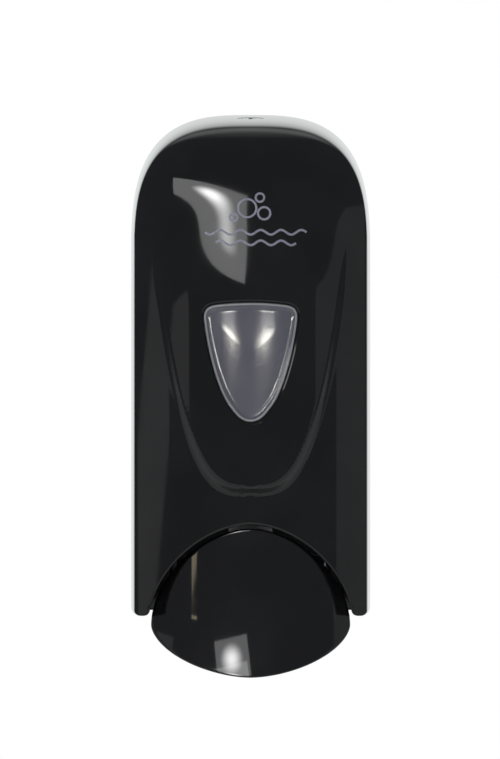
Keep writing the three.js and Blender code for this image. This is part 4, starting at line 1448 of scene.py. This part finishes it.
@dataclass
class Refill:
    """The soap pouch with its spout and the foam pump."""

    palette: Palette
    axis_depth: float = 40.0
    collar_radius: float = 14.0
    collar_ribs: int = 32
    spring_coil: float = 6.4
    spring_turns: int = 5
    spring_span: Pair = (70.8, 82.0)
    spring_seat: float = 83.0
    pouch_roundness: float = 2.5
    seal_half_width: float = 43.0
    seal_height: float = 10.2

    def turned(self, node: str, body: str, profile: Sequence[Pair],
               round_off: float = 0.25) -> bpy.types.Object:
        """A turned white part of the pump.

        Args:
            node: the frame node that it replaces.
            body: the frame body that it moves with.
            profile: radius and height of each corner.
            round_off: the edges' rounding.

        Returns:
            The piece.
        """
        piece = spun(f"{node}_fine", profile, 0, self.axis_depth)
        bevel(piece, round_off)
        smooth(piece)
        return fit(piece, body, "pump_white", self.palette.natural, node)

    def build_collar(self) -> None:
        """The ribbed collar nut that holds the pump to the spout."""
        profile = [(10.7, 84.3), (self.collar_radius, 84.3), (self.collar_radius, 96.4), (11.3, 96.4),
                   (11.3, 86.3), (10.7, 86.3)]
        collar = spun("pump_collar_fine", profile, 0, self.axis_depth, 96)
        first = rod("rib", Axis.UPRIGHT, 0.55, (85.0, 95.8),
                    (self.collar_radius - 0.1, self.axis_depth), 10)
        bevel(first, 0.15)
        for i in range(self.collar_ribs):
            rib = first.copy()
            rib.data = first.data.copy()
            bpy.context.scene.collection.objects.link(rib)
            centre = spot(0, self.axis_depth, 0)
            turn = Matrix.Rotation(2 * math.pi * i / self.collar_ribs, 4, "Z")
            rib.data.transform(Matrix.Translation(centre) @ turn @ Matrix.Translation(-centre))
            combine(collar, rib, "UNION")
        bpy.data.objects.remove(first)
        smooth(collar)
        fit(collar, "wall_unit", "pump_white", self.palette.natural, "pump_collar")

    def build_pump(self) -> None:
        """Every moulded and metal part of the pump."""
        spout = [(8, 88), (11, 88), (11, 101.2), (18.8, 101.2), (18.8, 104.1), (8, 104.1)]
        self.turned("pouch_spout", "wall_unit", spout)
        self.turned("pump_body", "wall_unit", [
            (8.6, 65), (9.2, 65), (10.4, 66.2), (10.4, 86.6), (11, 86.6), (11, 87.7), (7.7, 87.7), (7.7, 97),
            (2.6, 97), (2.6, 93), (4.2, 93), (4.2, 85), (2.2, 85), (2.2, 83), (8.6, 83)], 0.15)
        self.turned("pump_piston", "pump", [
            (1.6, 51.4), (3.6, 51.4), (3.6, 66.3), (8.3, 66.3), (8.3, 67.1), (7.2, 67.1), (7.2, 68.9),
            (8.3, 68.9), (8.3, 69.7), (1.6, 69.7)], 0.12)
        self.turned("foam_nozzle", "pump", [
            (4.2, 28.1), (5.1, 28.1), (5.6, 29), (6.2, 36), (7.4, 38.4), (7.4, 52.6), (9, 53.6), (12.9, 53.6),
            (12.9, 55.9), (3.9, 55.9), (3.9, 51), (2.6, 51), (2.6, 49.5), (6.3, 49.5), (6.3, 38.5),
            (4.2, 36.5)], 0.2)
        seal = spun("piston_seal_fine", [(7.95 + 0.58 * math.cos(a), 68 + 0.58 * math.sin(a))
                                         for a in np.linspace(0, 2 * math.pi, 16, endpoint=False)],
                    0, self.axis_depth)
        smooth(seal, 60)
        fit(seal, "pump", "seal_rubber", self.palette.rubber, "piston_seal")
        bpy.ops.object.select_all(action="DESELECT")
        bpy.ops.mesh.primitive_uv_sphere_add(segments=40, ring_count=24, radius=3.15 * MM,
                                             location=spot(0, self.axis_depth, 88.6))
        ball = bpy.context.active_object
        ball.name = "inlet_ball_fine"
        settle(ball)
        smooth(ball, 60)
        fit(ball, "wall_unit", "steel", self.palette.steel, "inlet_ball")
        for node, height in (("foam_mesh_upper", 46.5), ("foam_mesh_lower", 39.2)):
            screen = rod(f"{node}_fine", Axis.UPRIGHT, 5.95, (height, height + 0.8), (0, self.axis_depth))
            bevel(screen, 0.2)
            smooth(screen)
            fit(screen, "pump", "mesh_steel", self.palette.cloth, node)

    def build_spring(self) -> None:
        """The pump's return spring, drawn at one length, though the pump squeezes it as it lifts."""
        coil, per_turn = self.spring_coil, 32
        low, high = self.spring_span
        points = []
        for share in np.linspace(0, 1, self.spring_turns * per_turn + 1):
            angle = 2 * math.pi * self.spring_turns * share
            points.append(spot(coil * math.cos(angle), self.axis_depth + coil * math.sin(angle),
                               low + (high - low) * share))
        spring = wire("pump_spring_fine", points, 0.45)
        fit(spring, "wall_unit", "spring_steel", self.palette.spring, "pump_spring")
        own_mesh(spring)

    def pouch_start(self) -> bpy.types.Object:
        """The slack pillow that the pouch is inflated from."""
        low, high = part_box("soap_pouch")
        middle_depth = -(low.y + high.y) / 2 / MM
        slack, foot_gap, seal_gap = 3.5, 1.2, 8.5
        half_x, half_y = (high.x - low.x) / 2 / MM - slack, (high.y - low.y) / 2 / MM - slack
        foot, head = (low.z - FOOT) / MM + foot_gap, (high.z - FOOT) / MM - seal_gap
        sections = [(0, 0.66, 0.5), (0.03, 0.84, 0.78), (0.09, 0.95, 0.93), (0.25, 1, 1), (0.55, 1, 1),
                    (0.75, 0.985, 0.92), (0.88, 0.965, 0.68), (0.96, 0.95, 0.34), (1, 0.94, 0.07)]
        count = 64
        power = 2 / self.pouch_roundness
        rings = []
        for t, wide, deep in sections:
            ring = []
            for i in range(count):
                angle = 2 * math.pi * i / count
                c, s = math.cos(angle), math.sin(angle)
                x = half_x * wide * abs(c) ** power * math.copysign(1, c)
                y = half_y * deep * abs(s) ** power * math.copysign(1, s)
                ring.append(spot(x, middle_depth - y, foot + (head - foot) * t))
            rings.append(ring)
        return lofted("soap_pouch_fine", rings)

    def inflate(self, pouch: bpy.types.Object, cap: float) -> None:
        """Swells the pouch as cloth under pressure.

        Args:
            pouch: the remeshed pillow.
            cap: how far a point may move, in millimetres.
        """
        start = np.array([v.co for v in pouch.data.vertices])
        only(pouch)
        modifier = pouch.modifiers.new("Cloth", "CLOTH")
        cloth = modifier.settings
        cloth.quality = 6
        cloth.mass = 0.3
        cloth.tension_stiffness = 12
        cloth.compression_stiffness = 6
        cloth.bending_stiffness = 0.15
        cloth.use_pressure = True
        cloth.uniform_pressure_force = 4
        cloth.effector_weights.gravity = 0
        scene = bpy.context.scene
        for number in range(1, 21):
            scene.frame_set(number)
        swollen = pouch.evaluated_get(bpy.context.evaluated_depsgraph_get())
        end = np.array([v.co for v in swollen.data.vertices])
        pouch.modifiers.remove(modifier)
        scene.frame_set(1)
        move = end - start
        length = np.linalg.norm(move, axis=1, keepdims=True)
        end = start + move * np.minimum(1, cap * MM / np.maximum(length, 1e-9))
        pouch.data.vertices.foreach_set("co", end.ravel())
        pouch.data.update()

    def hold_in_box(self, pouch: bpy.types.Object, margin: float) -> None:
        """Keeps every point of the pouch inside the frame node's box.

        Args:
            pouch: the pouch.
            margin: how far inside, in millimetres.
        """
        low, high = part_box("soap_pouch")
        for vertex in pouch.data.vertices:
            for k in range(3):
                vertex.co[k] = min(max(vertex.co[k], low[k] + margin * MM), high[k] - margin * MM)

    def seal_strip(self) -> bpy.types.Object:
        """The welded strip along the pouch's top edge."""
        low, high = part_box("soap_pouch")
        depth = -(low.y + high.y) / 2 / MM
        top = (high.z - FOOT) / MM
        columns, rows = 48, 6
        half, thick, top_gap = self.seal_half_width, 0.45, 0.3
        points, faces = [], []
        for face in (thick, -thick):
            for c in range(columns + 1):
                x = -half + 2 * half * c / columns
                for r in range(rows + 1):
                    height = top - top_gap + self.seal_height * (r / rows - 1)
                    wave = 0.7 * math.sin(x / 7.3) * (r / rows) + 0.12 * math.cos(r * math.pi)
                    points.append(spot(x, depth + wave + face, height))
        size = (columns + 1) * (rows + 1)
        cell = np.arange(size).reshape(columns + 1, rows + 1).tolist()
        for c in range(columns):
            for r in range(rows):
                quad = (cell[c][r], cell[c + 1][r], cell[c + 1][r + 1], cell[c][r + 1])
                faces += [quad, tuple(size + i for i in reversed(quad))]
        rim = [cell[c][0] for c in range(columns)] + [cell[columns][r] for r in range(rows)]
        rim += [cell[c][rows] for c in range(columns, 0, -1)] + [cell[0][r] for r in range(rows, 0, -1)]
        for a, b in zip(rim, rim[1:] + rim[:1]):
            faces.append((a, b, size + b, size + a))
        strip = named_mesh("pouch_seal", points, faces)
        tidy_normals(strip)
        smooth(strip, 50)
        return strip

    def build_pouch(self) -> None:
        """The filled pouch, inflated and creased, with its welded top."""
        pouch = self.pouch_start()
        only(pouch)
        pouch.data.remesh_voxel_size = 4.5 * MM
        bpy.ops.object.voxel_remesh()
        self.inflate(pouch, 7)
        apply_modifier(pouch, "SUBSURF", levels=1, render_levels=1)
        self.hold_in_box(pouch, 0.4)
        smooth(pouch, 80)
        fit(pouch, "wall_unit", "pouch_film", self.palette.film, "soap_pouch")
        fit(self.seal_strip(), "wall_unit", "pouch_film", self.palette.film)

    def build(self) -> None:
        """Builds and dresses the refill."""
        self.build_collar()
        self.build_pump()
        self.build_spring()
        self.build_pouch()


# ---- Lock ---------------------------------------------------------------------------------------


@dataclass
class Lock:
    """The quarter-turn lock in the cover's top."""

    palette: Palette
    depth: float = CoverForm.lock_depth
    top_slope: float = 0.075
    slot_half: Pair = (0.9, 4.0)

    def build(self) -> None:
        """Builds and dresses the barrel, washer and cam."""
        barrel = rod("lock_barrel_fine", Axis.UPRIGHT, 5.95, (249.6, 265.2), (0, self.depth))
        for vertex in barrel.data.vertices:
            if vertex.co.z > FOOT + 260 * MM:
                vertex.co.z += self.top_slope * (vertex.co.y + self.depth * MM)
        bevel(barrel, 0.3)
        across, deep = self.slot_half
        slot_low = spot(-across, self.depth + deep, 261.5)
        slot_high = spot(across, self.depth - deep, 266)
        combine(barrel, block((slot_low + slot_high) / 2, slot_high - slot_low), "DIFFERENCE")
        combine(barrel, rod("bore", Axis.UPRIGHT, 1.8, (249, 257), (0, self.depth), 32), "DIFFERENCE")
        smooth(barrel)
        fit(barrel, "lock", "lock_steel", self.palette.lock, "lock_barrel")
        washer = rod("lock_washer_fine", Axis.UPRIGHT, 9.4, (250.7, 252.5), (0, self.depth))
        combine(washer, rod("bore", Axis.UPRIGHT, 6.2, (250, 253), (0, self.depth)), "DIFFERENCE")
        bevel(washer, 0.2)
        smooth(washer)
        fit(washer, "lock", "steel", self.palette.steel, "lock_washer")
        fit(softened_copy("lock_cam", 0.25), "lock", "lock_steel", self.palette.lock, "lock_cam")


# ---- Studio -------------------------------------------------------------------------------------


@dataclass(frozen=True)
class Softbox:
    """A rectangular light aimed at the dispenser, its place and size in metres, its power in watts."""

    name: str
    place: tuple
    size: Pair
    power: float
    colour: tuple = (1, 1, 1)
    turn: float = 0.0
    only_on: Optional[str] = None
    faded: bool = False

    def build(self) -> None:
        """Adds the light; with only_on it lights a single piece."""
        data = bpy.data.lights.new(self.name, "AREA")
        data.shape = "RECTANGLE"
        data.size, data.size_y = self.size
        data.energy = self.power
        data.color = self.colour
        if self.faded:
            self.fade(data)
        light = bpy.data.objects.new(self.name, data)
        bpy.context.scene.collection.objects.link(light)
        light.location = self.place
        aim = (Vector((0, -0.06, 0)) - Vector(self.place)).to_track_quat("-Z", "Y")
        turn = Matrix.Rotation(math.radians(self.turn), 3, "Z")
        light.rotation_euler = (aim.to_matrix() @ turn).to_euler()
        light.visible_camera = False
        if self.only_on:
            group = bpy.data.collections.new(f"{self.name}_receivers")
            group.objects.link(bpy.data.objects[self.only_on])
            light.light_linking.receiver_collection = group

    @staticmethod
    def fade(data: bpy.types.Light) -> None:
        """Lets a light fall off smoothly from its middle to its rim."""
        data.use_nodes = True
        nodes, links = data.node_tree.nodes, data.node_tree.links
        emission = next(node for node in nodes if node.type == "EMISSION")
        place = nodes.new("ShaderNodeNewGeometry")
        away = nodes.new("ShaderNodeVectorMath")
        away.operation = "DISTANCE"
        away.inputs[1].default_value = (0.5, 0.5, 0)
        share = nodes.new("ShaderNodeMapRange")
        share.interpolation_type = "SMOOTHSTEP"
        share.inputs["From Max"].default_value = 0.5
        share.inputs["To Min"].default_value = 1
        share.inputs["To Max"].default_value = 0
        links.new(place.outputs["Parametric"], away.inputs[0])
        links.new(away.outputs["Value"], share.inputs["Value"])
        links.new(share.outputs["Result"], emission.inputs["Strength"])


@dataclass
class Studio:
    """Camera, lights, pale floor and surroundings."""

    view_height: float = 141.0
    view_span: float = 362.8
    distance: float = 8.0
    floor_drop: float = 0.3

    def camera(self) -> None:
        """A long lens straight in front of the dispenser."""
        data = bpy.data.cameras.new("camera")
        data.sensor_width = 36
        data.lens = data.sensor_width * self.distance / (self.view_span * MM)
        data.clip_end = 40
        camera = bpy.data.objects.new("camera", data)
        bpy.context.scene.collection.objects.link(camera)
        camera.location = Vector((-0.0003, -self.distance, FOOT + self.view_height * MM))
        camera.rotation_euler = (math.pi / 2, 0, 0)
        bpy.context.scene.camera = camera

    def world(self) -> None:
        """White behind the dispenser and for the camera, dim in front of it."""
        world = bpy.data.worlds.new("studio")
        bpy.context.scene.world = world
        world.use_nodes = True
        nodes, links = world.node_tree.nodes, world.node_tree.links
        nodes.clear()
        output = nodes.new("ShaderNodeOutputWorld")
        mix = nodes.new("ShaderNodeMixShader")
        path = nodes.new("ShaderNodeLightPath")
        seen = nodes.new("ShaderNodeBackground")
        seen.inputs["Color"].default_value = (1, 1, 1, 1)
        around = nodes.new("ShaderNodeBackground")
        place = nodes.new("ShaderNodeTexCoord")
        axes = nodes.new("ShaderNodeSeparateXYZ")
        links.new(place.outputs["Generated"], axes.inputs["Vector"])
        shade = nodes.new("ShaderNodeValToRGB")
        elements = shade.color_ramp.elements
        elements[0].position, elements[0].color = 0.46, (0.17, 0.175, 0.185, 1)
        elements[1].position, elements[1].color = 0.62, (0.8, 0.83, 0.82, 1)
        spread = nodes.new("ShaderNodeMapRange")
        spread.inputs["From Min"].default_value = -1
        links.new(axes.outputs["Y"], spread.inputs["Value"])
        links.new(spread.outputs["Result"], shade.inputs["Fac"])
        links.new(shade.outputs["Color"], around.inputs["Color"])
        links.new(path.outputs["Is Camera Ray"], mix.inputs["Fac"])
        links.new(around.outputs["Background"], mix.inputs[1])
        links.new(seen.outputs["Background"], mix.inputs[2])
        links.new(mix.outputs["Shader"], output.inputs["Surface"])

    def floor(self) -> None:
        """A pale floor well below the dispenser."""
        bpy.ops.object.select_all(action="DESELECT")
        bpy.ops.mesh.primitive_plane_add(size=9, location=(0, 0, FOOT - self.floor_drop))
        floor = bpy.context.active_object
        floor.name = "floor"
        floor.data.materials.append(StudioPaint("studio_floor").build())

    def build(self) -> None:
        """Sets up the whole studio."""
        bpy.context.scene.view_settings.view_transform = "Standard"
        self.world()
        self.floor()
        for light in self.lights():
            light.build()

    def lights(self) -> list[Softbox]:
        """Key, side panels and low fill, and small lights that only the lever or the lens sees."""
        lever, lens = "push_lever_fine", "window_lens_fine"
        cream, cool, amber = (1, 0.98, 0.86), (0.95, 0.95, 1), (1, 0.86, 0.6)
        lights = [
            Softbox("key", (-0.86, -2.2, 0.88), (1.75, 0.38), 4.6, turn=-4),
            Softbox("key_core", (-0.68, -2.2, 0.885), (1.1, 0.19), 13, turn=-4, faded=True),
            Softbox("panel_right", (2.05, -1.43, -0.62), (0.9, 2.2), 1.0),
            Softbox("panel_left", (-2.0, -1.5, 0.16), (0.9, 0.22), 0.16, turn=16),
            Softbox("low_right", (1.3, -1.1, -1.6), (1.2, 1.2), 24),
            Softbox("low_left", (-1.9, -0.5, -1.9), (0.5, 0.5), 8),
            Softbox("lever_key", (-0.42, -2.3, 0.58), (0.8, 0.76), 3.4, turn=-8, only_on=lever),
            Softbox("lever_core", (-0.45, -2.3, 0.53), (0.62, 0.56), 16, only_on=lever, faded=True),
            Softbox("warm_strip", (-1.3, -2.1, -0.1), (0.12, 0.055), 0.05, amber, 10, lever)]
        for side, x in (("left", -0.5), ("right", 0.36)):
            lights += [
                Softbox(f"strip_{side}", (x, -2.4, 0.3), (0.72, 0.12), 10, cream, only_on=lens, faded=True),
                Softbox(f"glow_{side}", (x, -2.4, 0.42), (0.34, 0.26), 0.5, cool, only_on=lens)]
        return lights


def main() -> None:
    """Builds the dispenser piece by piece."""
    palette = Palette()
    Cover(palette).build()
    PushLever(palette).build()
    WallUnit(palette).build()
    Refill(palette).build()
    Lock(palette).build()
    for screw in (
            Screw("shelf_screw_left", "wall_unit", 8.1), Screw("shelf_screw_right", "wall_unit", 8.1),
            Screw("keeper_screw", "wall_unit", 6.6), Screw("cam_screw", "lock", 9.6),
            Screw("fork_screw_left", "lever", 11, 1.2, 2.55),
            Screw("fork_screw_right", "lever", 11, 1.2, 2.55)):
        screw.build(palette.steel)
    studio = Studio()
    studio.camera()
    studio.build()


if __name__ == "__main__":
    main()
